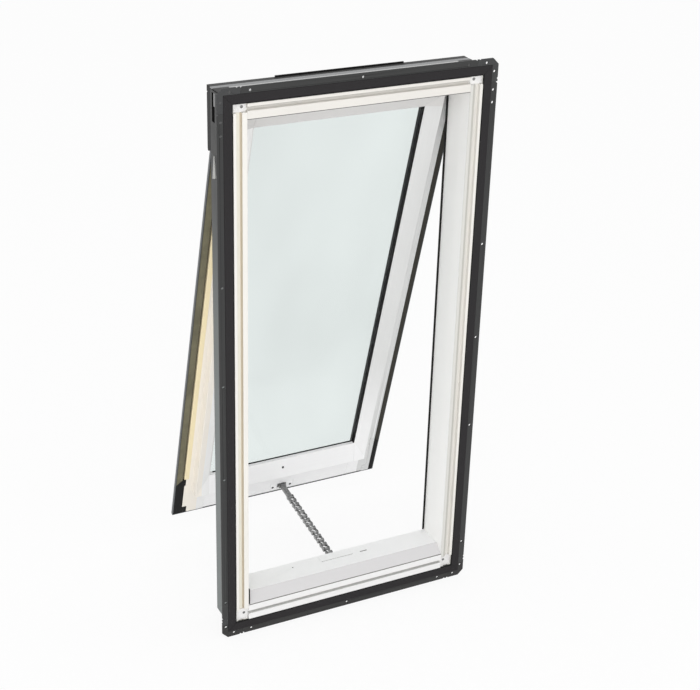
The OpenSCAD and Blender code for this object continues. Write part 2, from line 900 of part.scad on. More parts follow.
// bulb seal of a jamb with a lip into the opening
module lip_seal() {
    seal_bulb();
    translate([-seal_lip, 0])
        square([seal_lip + gap, (sash_clear - rub) / 2]);
}

module frame_seal() {
    color([0.03, 0.03, 0.03]) {
        both_x()
            along_z(-pz(sill_e) + gap, pz(head_e + reveal_taper) - gap)
                translate([px(jamb_e + reveal_taper), frame_d])
                    lip_seal();
        along_x(-px(jamb_e - seal_over), px(jamb_e - seal_over))
            translate([frame_d, pz(head_e + reveal_taper)])
                rotate(90)
                    mirror([0, 1])
                        seal_bulb();
        along_x(-px(jamb_e - seal_over), px(jamb_e - seal_over))
            translate([frame_d, -pz(sill_e) - 1.5 * bulb_w])
                rotate(90)
                    mirror([0, 1])
                        seal_bulb();
    }
}

// chain operator in the sill pocket, open at the chain mouth
module operator_case() {
    color([0.2, 0.2, 0.21])
        difference() {
            bar(chain_x - case_w / 2, chain_x + case_w / 2, frame_d - case_d, frame_d - gap,
                case_z - case_h / 2, case_z + case_h / 2);
            bar(chain_x - mouth_w / 2, chain_x + mouth_w / 2, out_y - plate_h, frame_d + 1,
                out_z - mouth_h / 2, out_z + mouth_h / 2);
            pin_x(chain_x - outlet_half, chain_x + outlet_half, out_y, out_z, link_pin_r);
        }
}

module operator_cover() {
    color([0.92, 0.91, 0.88])
        bar(plate_x - plate_w / 2, plate_x + plate_w / 2, frame_d - plate_d, frame_d,
            -pz(sill_e) - plate_t, -pz(sill_e));
}

// bezel round the chain mouth
module chain_guide() {
    color([0.08, 0.08, 0.08])
        difference() {
            bar(chain_x - mouth_w / 2 - guide_rim, chain_x + mouth_w / 2 + guide_rim, frame_d - gap,
                frame_d + guide_t, out_z - mouth_h / 2 - guide_rim, out_z + mouth_h / 2 + guide_rim);
            bar(chain_x - mouth_w / 2, chain_x + mouth_w / 2, frame_d - 2, frame_d + 4,
                out_z - mouth_h / 2, out_z + mouth_h / 2);
        }
}

module outlet_pin() {
    color([0.6, 0.6, 0.6])
        pin_x(chain_x - outlet_half, chain_x + outlet_half, out_y, out_z, link_pin_r);
}

// frame leaf with two knuckles
module frame_leaf() {
    difference() {
        union() {
            bar(-hinge_w / 2, hinge_w / 2, frame_d, frame_d + leaf_t, hinge_z + knuckle_r + 1,
                pz(out_e + 2));
            for (s = [-1, 1])
                translate([s * hinge_w / 3, 0, 0]) {
                    pin_x(-hinge_w / 6, hinge_w / 6, hinge_y, hinge_z, knuckle_r);
                    bar(-hinge_w / 6, hinge_w / 6, frame_d, frame_d + leaf_t, hinge_z,
                        hinge_z + knuckle_r + 2);
                }
        }
        pin_x(-hinge_w, hinge_w, hinge_y, hinge_z, pin_r);
        for (s = [-1, 1])
            translate([s * hinge_w / 3, frame_d + leaf_t, hinge_screw_z])
                rotate([90, 0, 0])
                    cylinder(h = 2 * leaf_t, r = 1.8, center = true);
    }
}

module frame_hinge_leaves() {
    color([0.62, 0.62, 0.62])
        for (s = [-1, 1])
            translate([s * hinge_x, 0, 0])
                frame_leaf();
}

module hinge_pins() {
    color([0.7, 0.7, 0.7])
        for (s = [-1, 1])
            pin_x(s * hinge_x - hinge_w / 2 - 1, s * hinge_x + hinge_w / 2 + 1, hinge_y, hinge_z,
                pin_r);
}

module hinge_screws() {
    color([0.6, 0.6, 0.6])
        for (s = [-1, 1], k = [-1, 1])
            translate([s * hinge_x + k * hinge_w / 3, frame_d + leaf_t, hinge_screw_z])
                rotate([90, 0, 0])
                    union() {
                        translate([0, 0, -1.2])
                            cylinder(h = 1.2, r = 3.2);
                        cylinder(h = leaf_t, r = 1.75);
                    }
}

// sash leaf with the middle knuckle
module sash_leaf() {
    w = hinge_w / 3 - gap;
    difference() {
        union() {
            bar(-hinge_w / 2, hinge_w / 2, seat_y, lip_y, rail_top, rail_top + leaf_t);
            pin_x(-w / 2, w / 2, hinge_y, hinge_z, knuckle_r);
            bar(-w / 2, w / 2, seat_y, seat_y + 4.2, rail_top + leaf_t - 0.2, hinge_z);
        }
        pin_x(-hinge_w, hinge_w, hinge_y, hinge_z, pin_r + pin_clear);
    }
}

module sash_hinge_leaves() {
    color([0.62, 0.62, 0.62])
        swung()
            for (s = [-1, 1])
                translate([s * hinge_x, 0, 0])
                    sash_leaf();
}

// space in front of the glass between the rails, widening towards the room
module rail_well() {
    along_x(-half_w, half_w)
        polygon([[nest_y - 1, -pz(nest_e_sill + nest_flat - slope_sill)],
                 [nest_y - 1, pz(nest_e_head + nest_flat - slope_side)], [bevel_y, pz(glass_e_head)],
                 [glaze_y + 1, pz(glass_e_head)], [glaze_y + 1, -pz(glass_e_sill)],
                 [bevel_y, -pz(glass_e_sill)]]);
}

// the same space between the stiles as well
module glass_well() {
    x0 = px(nest_e + nest_flat - slope_side);
    intersection() {
        along_z(-half_h, half_h)
            polygon([[-x0, nest_y - 1], [x0, nest_y - 1], [px(glass_e), bevel_y],
                     [px(glass_e), glaze_y + 1], [-px(glass_e), glaze_y + 1], [-px(glass_e), bevel_y]]);
        rail_well();
    }
}

module glass_pocket() {
    bar(-px(edge_e - gap), px(edge_e - gap), glaze_y, pane_top + 20, -pz(edge_e_sill - gap),
        pz(edge_e_head - gap));
}

// space under the cladding of the sill and the head
module rail_roof() {
    along_x(-half_w, half_w)
        polygon([[nest_y - 1, -pz(sash_inset_sill)],
                 [roof_at(sash_inset_sill, sash_inset_sill, edge_e_sill), -pz(sash_inset_sill)],
                 [roof_at(half_h, sash_inset_sill, edge_e_sill), 0],
                 [roof_at(half_h, sash_inset_head, edge_e_head), 0],
                 [roof_at(sash_inset_head, sash_inset_head, edge_e_head), pz(sash_inset_head)],
                 [nest_y - 1, pz(sash_inset_head)]]);
}

// space under the cladding of the sides as well
module sash_roof() {
    low = roof_at(sash_inset, sash_inset, edge_e);
    intersection() {
        along_z(-half_h, half_h)
            polygon([[-px(sash_inset), nest_y - 1], [px(sash_inset), nest_y - 1], [px(sash_inset), low],
                     [0, roof_at(half_w, sash_inset, edge_e)], [-px(sash_inset), low]]);
        rail_roof();
    }
}

// seat of an end piece in the lower corner
module end_seat() {
    bar(px(sash_inset + end_foot + gap), half_w, seat_y - 1, seat_y + strip_t + gap, -half_h,
        end_z + end_foot_h + gap);
    bar(px(end_e + gap), half_w, seat_y - 1, seat_y + strip_t + gap, -half_h, end_z + end_leg + gap);
    bar(px(end_e + end_nose + gap), half_w, seat_y - 1, seat_y + strip_t + gap,
        end_z + end_leg - end_nose_l - gap, end_z + end_leg + gap);
}

module stile() {
    difference() {
        intersection() {
            union() {
                bar(px(glass_e), px(stile_e), seat_y, pane_top + timber_over,
                    -pz(sash_inset_sill + cover_t + gap), rail_top);
                bar(px(glass_e), px(nest_e), nest_y, seat_y + 1, -pz(nest_e_sill), pz(nest_e_head));
            }
            sash_roof();
        }
        glass_well();
        glass_pocket();
        end_seat();
    }
}

module sash_stile_left() {
    color([0.92, 0.92, 0.9])
        swung()
            flip_x()
                stile();
}

module sash_stile_right() {
    color([0.92, 0.92, 0.9])
        swung()
            stile();
}

module sash_head_rail() {
    color([0.92, 0.92, 0.9])
        swung()
            difference() {
                intersection() {
                    union() {
                        bar(-px(glass_e), px(glass_e), seat_y, pane_top + timber_over, pz(glass_e_head) - 1,
                            rail_top);
                        bar(-px(glass_e), px(glass_e), nest_y, seat_y + 1, pz(glass_e_head) - 1,
                            pz(nest_e_head));
                    }
                    rail_roof();
                }
                rail_well();
                glass_pocket();
            }
}

// room for the bracket, its cover plate and their screws
module bracket_recess() {
    bar(chain_x - bracket_w / 2 - gap, chain_x + bracket_w / 2 + gap, seat_y - 1, seat_y + bracket_t,
        window_z - bracket_h / 2 - gap, window_z + bracket_h / 2 + gap);
    bar(chain_x - base_w / 2 - gap, chain_x + base_w / 2 + gap, seat_y, seat_y + bracket_t + base_t + gap,
        window_z - base_h / 2 - gap, window_z + base_h / 2 + gap);
    for (s = [-1, 1])
        sink_y(chain_x + s * bracket_screw_x, out_z - bracket_screw_drop, seat_y, screw_r,
               bracket_screw_l);
}

module sash_bottom_rail() {
    color([0.92, 0.92, 0.9])
        swung()
            difference() {
                intersection() {
                    union() {
                        bar(-px(glass_e), px(glass_e), seat_y, pane_top + timber_over,
                            -pz(sash_inset_sill + cover_t + gap), -pz(glass_e_sill) + 1);
                        bar(-px(glass_e), px(glass_e), nest_y, seat_y + 1, -pz(nest_e_sill),
                            -pz(glass_e_sill) + 1);
                    }
                    rail_roof();
                }
                rail_well();
                glass_pocket();
                bracket_recess();
                pin_y(0, rail_hole_z, nest_y - 1, rail_hole_y + rail_hole_d, rail_hole_r);
            }
}

module pane(y) {
    bar(-px(edge_e), px(edge_e), y, y + pane_t, -pz(edge_e_sill), pz(edge_e_head));
}

module inner_pane() {
    color([0.82, 0.88, 0.86, 0.6])
        swung()
            pane(pane_y);
}

module outer_pane() {
    color([0.82, 0.88, 0.86, 0.6])
        swung()
            pane(pane2_y);
}

// four bars round the panes, flush with the timber
module spacer_bar() {
    y0 = pane_y + pane_t;
    inset = 4;
    color([0.1, 0.1, 0.1])
        swung() {
            both_x()
                bar(px(edge_e + inset + spacer_w), px(edge_e + inset), y0, pane2_y, -pz(edge_e_sill + inset),
                    pz(edge_e_head + inset));
            bar(-px(edge_e + inset + spacer_w + gap), px(edge_e + inset + spacer_w + gap), y0, pane2_y,
                -pz(edge_e_sill + inset), -pz(edge_e_sill + inset + spacer_w));
            bar(-px(edge_e + inset + spacer_w + gap), px(edge_e + inset + spacer_w + gap), y0, pane2_y,
                pz(edge_e_head + inset + spacer_w), pz(edge_e_head + inset));
        }
}

// seal under the inner pane with a lip down the timber
module glazing_seal() {
    lip = 2.6;
    low_lip = 1.2;
    color([0.03, 0.03, 0.03])
        swung() {
            both_x() {
                along_z(-pz(edge_e_sill), pz(edge_e_head))
                    polygon([[px(edge_e), glaze_y], [px(glass_e + lip), glaze_y],
                             [px(glass_e + lip), pane_y], [px(edge_e), pane_y]]);
                along_z(-pz(glass_e_sill), pz(glass_e_head))
                    polygon([[px(glass_e), bevel_y + 0.6], [px(glass_e + lip), bevel_y + 1.2],
                             [px(glass_e + lip), pane_y], [px(glass_e), pane_y]]);
            }
            along_x(-px(glass_e + lip), px(glass_e + lip))
                polygon([[glaze_y, -pz(edge_e_sill)], [glaze_y, -pz(glass_e_sill)],
                         [glaze_y - low_lip, -pz(glass_e_sill)],
                         [glaze_y - low_lip / 2, -pz(glass_e_sill + low_lip)],
                         [pane_y, -pz(glass_e_sill + low_lip)], [pane_y, -pz(edge_e_sill)]]);
            along_x(-px(glass_e + lip), px(glass_e + lip))
                polygon([[glaze_y, pz(edge_e_head)], [glaze_y, pz(glass_e_head)],
                         [glaze_y - 4, pz(glass_e_head)], [glaze_y - 3.4, pz(glass_e_head + lip)],
                         [pane_y, pz(glass_e_head + lip)], [pane_y, pz(edge_e_head)]]);
        }
}

// wedge seals between outer pane and cladding
module outer_glazing_seal() {
    e0 = edge_e + 0.5;
    e1 = clad_e - 0.6;
    b0 = edge_e_sill + 0.5;
    b1 = clad_e_sill - 0.6;
    h0 = edge_e_head + 0.5;
    h1 = clad_e_head - 0.6;
    color([0.05, 0.05, 0.05])
        swung() {
            both_x()
                along_z(-pz(clad_e_sill + 6), pz(clad_e_head + 6))
                    polygon([[px(e0), pane_top], [px(e1), pane_top],
                             [px(e1), clad_at(e1, sash_inset, edge_e) - cover_t],
                             [px(e0), clad_at(e0, sash_inset, edge_e) - cover_t]]);
            along_x(-px(clad_e + 6), px(clad_e + 6))
                polygon([[pane_top, -pz(b0)],
                         [clad_at(b0, sash_inset_sill, edge_e_sill) - cover_t, -pz(b0)],
                         [clad_at(b1, sash_inset_sill, edge_e_sill) - cover_t, -pz(b1)],
                         [pane_top, -pz(b1)]]);
            along_x(-px(clad_e + 6), px(clad_e + 6))
                polygon([[pane_top, pz(h0)],
                         [clad_at(h0, sash_inset_head, edge_e_head) - cover_t, pz(h0)],
                         [clad_at(h1, sash_inset_head, edge_e_head) - cover_t, pz(h1)],
                         [pane_top, pz(h1)]]);
        }
}

// sloped sheet with a lip, mitred on the hip lines
module side_cladding() {
    edge = sash_inset + cover_t;
    rise = clad_at(clad_e, sash_inset, edge_e);
    difference() {
        intersection() {
            along_z(-half_h, half_h)
                polygon([[px(sash_inset), seat_y], [px(edge), seat_y],
                         [px(edge), clad_at(edge, sash_inset, edge_e) - cover_t],
                         [px(clad_e), rise - cover_t], [px(clad_e), rise], [px(sash_inset), lip_y]]);
            along_y(0, pane_top + timber_over)
                polygon([[px(sash_inset), -pz(hip_sill(sash_inset))],
                         [px(clad_e), -pz(hip_sill(clad_e))], [px(clad_e), pz(hip_head(clad_e))],
                         [px(sash_inset), pz(hip_head(sash_inset))]]);
        }
        bar(px(edge + 1), half_w, 0, lip_y - cover_t, hinge_z + 1.5, half_h);
    }
}

module sash_cladding_left() {
    color([0.4, 0.4, 0.4])
        swung()
            flip_x()
                side_cladding();
}

module sash_cladding_right() {
    color([0.4, 0.4, 0.4])
        swung()
            side_cladding();
}

module sash_cladding_sill() {
    edge = sash_inset_sill + cover_t;
    rise = clad_at(clad_e_sill, sash_inset_sill, edge_e_sill);
    side = hip_side(clad_e_sill, sash_inset_sill, edge_e_sill);
    color([0.4, 0.4, 0.4])
        swung()
            intersection() {
                along_x(-half_w, half_w)
                    polygon([[seat_y, -pz(sash_inset_sill)], [seat_y, -pz(edge)],
                             [clad_at(edge, sash_inset_sill, edge_e_sill) - cover_t, -pz(edge)],
                             [rise - cover_t, -pz(clad_e_sill)], [rise, -pz(clad_e_sill)],
                             [lip_y, -pz(sash_inset_sill)]]);
                along_y(0, pane_top + timber_over)
                    polygon([[-px(sash_inset), -pz(sash_inset_sill)], [px(sash_inset), -pz(sash_inset_sill)],
                             [px(side), -pz(clad_e_sill)], [-px(side), -pz(clad_e_sill)]]);
            }
}

module sash_cladding_head() {
    rise = clad_at(clad_e_head, sash_inset_head, edge_e_head);
    side = hip_side(clad_e_head, sash_inset_head, edge_e_head);
    color([0.4, 0.4, 0.4])
        swung()
            intersection() {
                along_x(-half_w, half_w)
                    polygon([[lip_y - cover_t, pz(sash_inset_head)], [rise - cover_t, pz(clad_e_head)],
                             [rise, pz(clad_e_head)], [lip_y, pz(sash_inset_head)]]);
                along_y(0, pane_top + timber_over)
                    polygon([[-px(sash_inset), pz(sash_inset_head)], [px(sash_inset), pz(sash_inset_head)],
                             [px(side), pz(clad_e_head)], [-px(side), pz(clad_e_head)]]);
            }
}

// strips under the side edges of the sash
module weather_strip() {
    color([0.28, 0.28, 0.22])
        swung()
            both_x()
                along_y(seat_y, seat_y + strip_t)
                    polygon([[end_x, end_z + end_leg - end_slant + gap], [end_x, rail_top],
                             [px(strip_e), rail_top], [px(strip_e), end_z + end_leg + gap]]);
}

// moulded end piece in a lower sash corner
module sash_end() {
    top = end_z + end_leg;
    along_y(seat_y, seat_y + strip_t)
        polygon([[end_x, end_z], [end_x, top - end_slant], [px(strip_e), top], [px(end_e), top],
                 [px(end_e + end_nose), top - end_nose],
                 [px(end_e + end_nose), top - end_nose_l + end_nose], [px(end_e), top - end_nose_l],
                 [px(end_e), end_z + end_foot_h], [px(sash_inset + end_foot), end_z + end_foot_h],
                 [px(sash_inset + end_foot), end_z]]);
}

module sash_end_left() {
    color([0.05, 0.05, 0.05])
        swung()
            flip_x()
                sash_end();
}

module sash_end_right() {
    color([0.05, 0.05, 0.05])
        swung()
            sash_end();
}

// cover plate of the bracket, let into the bottom rail
module bracket_plate() {
    color([0.92, 0.92, 0.9])
        swung()
            difference() {
                bar(chain_x - bracket_w / 2, chain_x + bracket_w / 2, seat_y, seat_y + bracket_t,
                    window_z - bracket_h / 2, window_z + bracket_h / 2);
                bar(chain_x - window_w / 2, chain_x + window_w / 2, seat_y - 1, seat_y + bracket_t + 1,
                    window_z - window_h / 2, window_z + window_h / 2);
                for (s = [-1, 1])
                    sink_y(chain_x + s * bracket_screw_x, out_z - bracket_screw_drop, seat_y, screw_r,
                           bracket_screw_l);
            }
}

// bracket behind the window of the cover plate, two ears for the chain pin
module chain_bracket() {
    color([0.25, 0.25, 0.26])
        swung()
            difference() {
                union() {
                    bar(chain_x - base_w / 2, chain_x + base_w / 2, seat_y + bracket_t,
                        seat_y + bracket_t + base_t, window_z - base_h / 2, window_z + base_h / 2);
                    for (s = [-1, 1])
                        translate([chain_x + s * (outer_x + ear_t / 2), 0, 0]) {
                            pin_x(-ear_t / 2, ear_t / 2, bracket_y, out_z, ear_r);
                            bar(-ear_t / 2, ear_t / 2, bracket_y, seat_y + bracket_t + 1,
                                out_z - ear_r, out_z + ear_r);
                        }
                }
                pin_x(chain_x - link_w, chain_x + link_w, bracket_y, out_z, link_pin_r);
            }
}

// two screws of the cover plate and one deep in the bottom rail
module bracket_screws() {
    color([0.5, 0.5, 0.5])
        swung() {
            for (s = [-1, 1])
                screw_y(chain_x + s * bracket_screw_x, out_z - bracket_screw_drop, seat_y + 0.1, screw_r,
                        bracket_screw_l - 0.1);
            pin_y(0, rail_hole_z, rail_hole_y + rail_screw_in, rail_hole_y + rail_hole_d,
                  rail_hole_r - 0.05);
        }
}

module bracket_pin() {
    color([0.6, 0.6, 0.6])
        swung()
            pin_x(chain_x - outer_x - ear_t - 0.6, chain_x + outer_x + ear_t + 0.6, bracket_y, out_z,
                  link_pin_r);
}

// pieces of the chain lie along Y from the outlet and are turned to its slope
module chained() {
    translate([chain_x, out_y, out_z])
        rotate([chain_a, 0, 0])
            children();
}

// waisted link plate between two pins, its inner face at x
module link_plate(x) {
    for (y = [0, link_p])
        pin_x(x, x + link_t, y, 0, plate_h / 2);
    bar(x, x + link_t, 0, link_p, -waist_h / 2, waist_h / 2);
}

// two plates on two bushes
module inner_link() {
    difference() {
        union() {
            both_x()
                link_plate(bush_w / 2);
            for (y = [0, link_p])
                pin_x(-bush_w / 2 - 0.2, bush_w / 2 + 0.2, y, 0, bush_r);
        }
        for (y = [0, link_p])
            pin_x(-link_w, link_w, y, 0, bore_r);
    }
}

// two plates on two riveted pins
module outer_link() {
    both_x()
        link_plate(outer_x);
    for (y = [0, link_p])
        pin_x(-link_w / 2 - 0.7, link_w / 2 + 0.7, y, 0, link_pin_r);
}

module push_chain() {
    color([0.3, 0.3, 0.31])
        chained()
            for (i = [0 : link_n - 1])
                translate([0, i * link_p, 0])
                    if (i % 2 == 0)
                        inner_link();
                    else
                        outer_link();
}

// plain bar between the last link and the sash bracket
module chain_end_bar() {
    color([0.3, 0.3, 0.31])
        chained()
            translate([0, link_n * link_p, 0])
                difference() {
                    union() {
                        pin_x(-bar_w / 2, bar_w / 2, 0, 0, plate_h / 2);
                        bar(-bar_w / 2, bar_w / 2, 0, bar_l, -bar_h / 2, bar_h / 2);
                        pin_x(-bar_w / 2, bar_w / 2, bar_l, 0, bar_h / 2);
                    }
                    pin_x(-link_w, link_w, 0, 0, bore_r);
                    pin_x(-link_w, link_w, bar_l, 0, bore_r);
                }
}

frame_jamb_left();
frame_jamb_right();
frame_head();
frame_sill();
head_bead();
sill_bead();
flange_left();
flange_right();
flange_head();
flange_sill();
flange_corners();
deck_seal();
lining_clips();
lining_clip_screws();
side_cover_left();
side_cover_right();
sill_cover();
head_cover();
hinge_cheek_left();
hinge_cheek_right();
side_clips();
side_plugs();
cover_screws();
frame_seal();
operator_case();
operator_cover();
chain_guide();
outlet_pin();
frame_hinge_leaves();
hinge_pins();
hinge_screws();
sash_stile_left();
sash_stile_right();
sash_head_rail();
sash_bottom_rail();
inner_pane();
outer_pane();
spacer_bar();
glazing_seal();
outer_glazing_seal();
sash_cladding_left();
sash_cladding_right();
sash_cladding_head();
sash_cladding_sill();
weather_strip();
sash_end_left();
sash_end_right();
sash_hinge_leaves();
bracket_plate();
chain_bracket();
bracket_screws();
bracket_pin();
push_chain();
chain_end_bar();
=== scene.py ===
"""Looks of a top-hung roof skylight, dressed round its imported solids.

Laid out as an add-on and run as a script.
"""

import json
import math

import bmesh
import bpy
from bpy.props import FloatProperty, FloatVectorProperty, IntProperty, PointerProperty
from mathutils import Matrix, Vector


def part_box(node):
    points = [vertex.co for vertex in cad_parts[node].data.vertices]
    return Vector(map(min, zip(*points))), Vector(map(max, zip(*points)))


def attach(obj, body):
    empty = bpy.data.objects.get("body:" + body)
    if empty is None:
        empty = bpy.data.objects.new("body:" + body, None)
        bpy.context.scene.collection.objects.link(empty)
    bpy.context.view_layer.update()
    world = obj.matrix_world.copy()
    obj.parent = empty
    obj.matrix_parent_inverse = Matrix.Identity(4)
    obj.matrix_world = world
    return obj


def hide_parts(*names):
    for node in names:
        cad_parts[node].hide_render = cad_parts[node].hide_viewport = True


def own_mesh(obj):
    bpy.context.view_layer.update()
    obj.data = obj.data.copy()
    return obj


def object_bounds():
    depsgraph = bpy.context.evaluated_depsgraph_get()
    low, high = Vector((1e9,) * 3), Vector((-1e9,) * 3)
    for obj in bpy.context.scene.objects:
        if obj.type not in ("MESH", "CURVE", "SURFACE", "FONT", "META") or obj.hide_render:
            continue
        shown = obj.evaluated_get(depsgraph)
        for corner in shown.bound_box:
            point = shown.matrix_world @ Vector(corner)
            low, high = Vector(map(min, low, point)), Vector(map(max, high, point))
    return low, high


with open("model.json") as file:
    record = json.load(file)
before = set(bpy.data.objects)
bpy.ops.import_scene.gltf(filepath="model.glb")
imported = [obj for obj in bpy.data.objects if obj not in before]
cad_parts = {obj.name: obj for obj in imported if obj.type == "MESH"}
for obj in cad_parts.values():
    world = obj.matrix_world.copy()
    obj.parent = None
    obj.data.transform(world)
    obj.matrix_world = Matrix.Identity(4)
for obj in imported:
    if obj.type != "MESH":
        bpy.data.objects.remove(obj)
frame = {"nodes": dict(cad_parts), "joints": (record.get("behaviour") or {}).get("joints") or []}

bl_info = {
    "name": "Roof Skylight Looks",
    "version": (1, 0, 0),
    "blender": (4, 5, 0),
    "location": "3D View > Sidebar > Skylight",
    "description": "Gives the solids of a top-hung roof skylight their finishes, chain, trim and stage",
    "category": "Object",
}

CAD_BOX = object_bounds()
NODES = frame["nodes"]
JOINTS = {joint["name"]: joint for joint in frame["joints"]}
MM = 0.001

# At rest the sash is swung out by the whole range of its hinge.
HINGE = Vector(JOINTS["sash_hinge"]["pos_m"])
OPEN_ANGLE = -math.radians(JOINTS["sash_hinge"]["range_deg"][0])
SWING = Matrix.Translation(HINGE) @ Matrix.Rotation(OPEN_ANGLE, 4, "X") @ Matrix.Translation(-HINGE)

# The chain leaves the sill here.
OUTLET = Vector(JOINTS["chain_swing"]["pos_m"])

# Turns that line a pattern up with the frame or with the swung sash
UPRIGHT = (0.0, 0.0, 0.0)
SWUNG = (-OPEN_ANGLE, 0.0, 0.0)

# Stretches that draw a pattern out along upright timber, level timber and extruded rubber
GRAIN_UP = (1.0, 1.0, 0.012)
GRAIN_ACROSS = (0.012, 1.0, 1.0)
RUBBER_LINES = (1.0, 1.0, 0.02)

# Edges that turn by more than the sharp angle are rounded, once points within the gap are joined.
WELD_GAP = 0.01 * MM
SHARP_ANGLE = math.radians(32)
EDGE_STEPS = 2

# The photograph's camera: place in metres, and its right, down and forward directions.
IMAGE_WIDTH = 700
FOCAL_PIXELS = 1520.77
SENSOR = 36.0
CAMERA_PLACE = Vector((-1.240856, -2.395120, 1.359554))
CAMERA_RIGHT = Vector((0.89523501, -0.44477777, 0.02696330))
CAMERA_DOWN = Vector((-0.17435794, -0.40534341, -0.89738287))
CAMERA_FORWARD = Vector((0.41006535, 0.79866730, -0.44042814))
CLIP_NEAR = 0.05
CLIP_FAR = 200.0

# Lamps: name, place and diameter in metres. Each has a setting of its name for its power.
LAMPS = (
    ("key", Vector((-1.0, -2.6, 3.2)), 3.0),
    ("fill", Vector((-1.5, -3.2, -0.1)), 2.0),
    ("side", Vector((-3.4, 0.5, 0.0)), 2.0),
)
LAMP_AIM = Vector((0.0, 0.1, 0.0))
FLOOR_GAP = 0.5 * MM
WHITE = (1.0, 1.0, 1.0, 1.0)


def colour(label, text, default):
    """A colour of one finish."""
    return FloatVectorProperty(name=label, description=text, default=default, size=3, min=0.0, max=1.0,
                               subtype="COLOR")


def length(label, text, default):
    """A length in metres."""
    return FloatProperty(name=label, description=text, default=default, min=0.0, precision=5, unit="LENGTH")


def power(label, text, default):
    """The power of a lamp in watts."""
    return FloatProperty(name=label, description=text, default=default, min=0.0, unit="POWER")


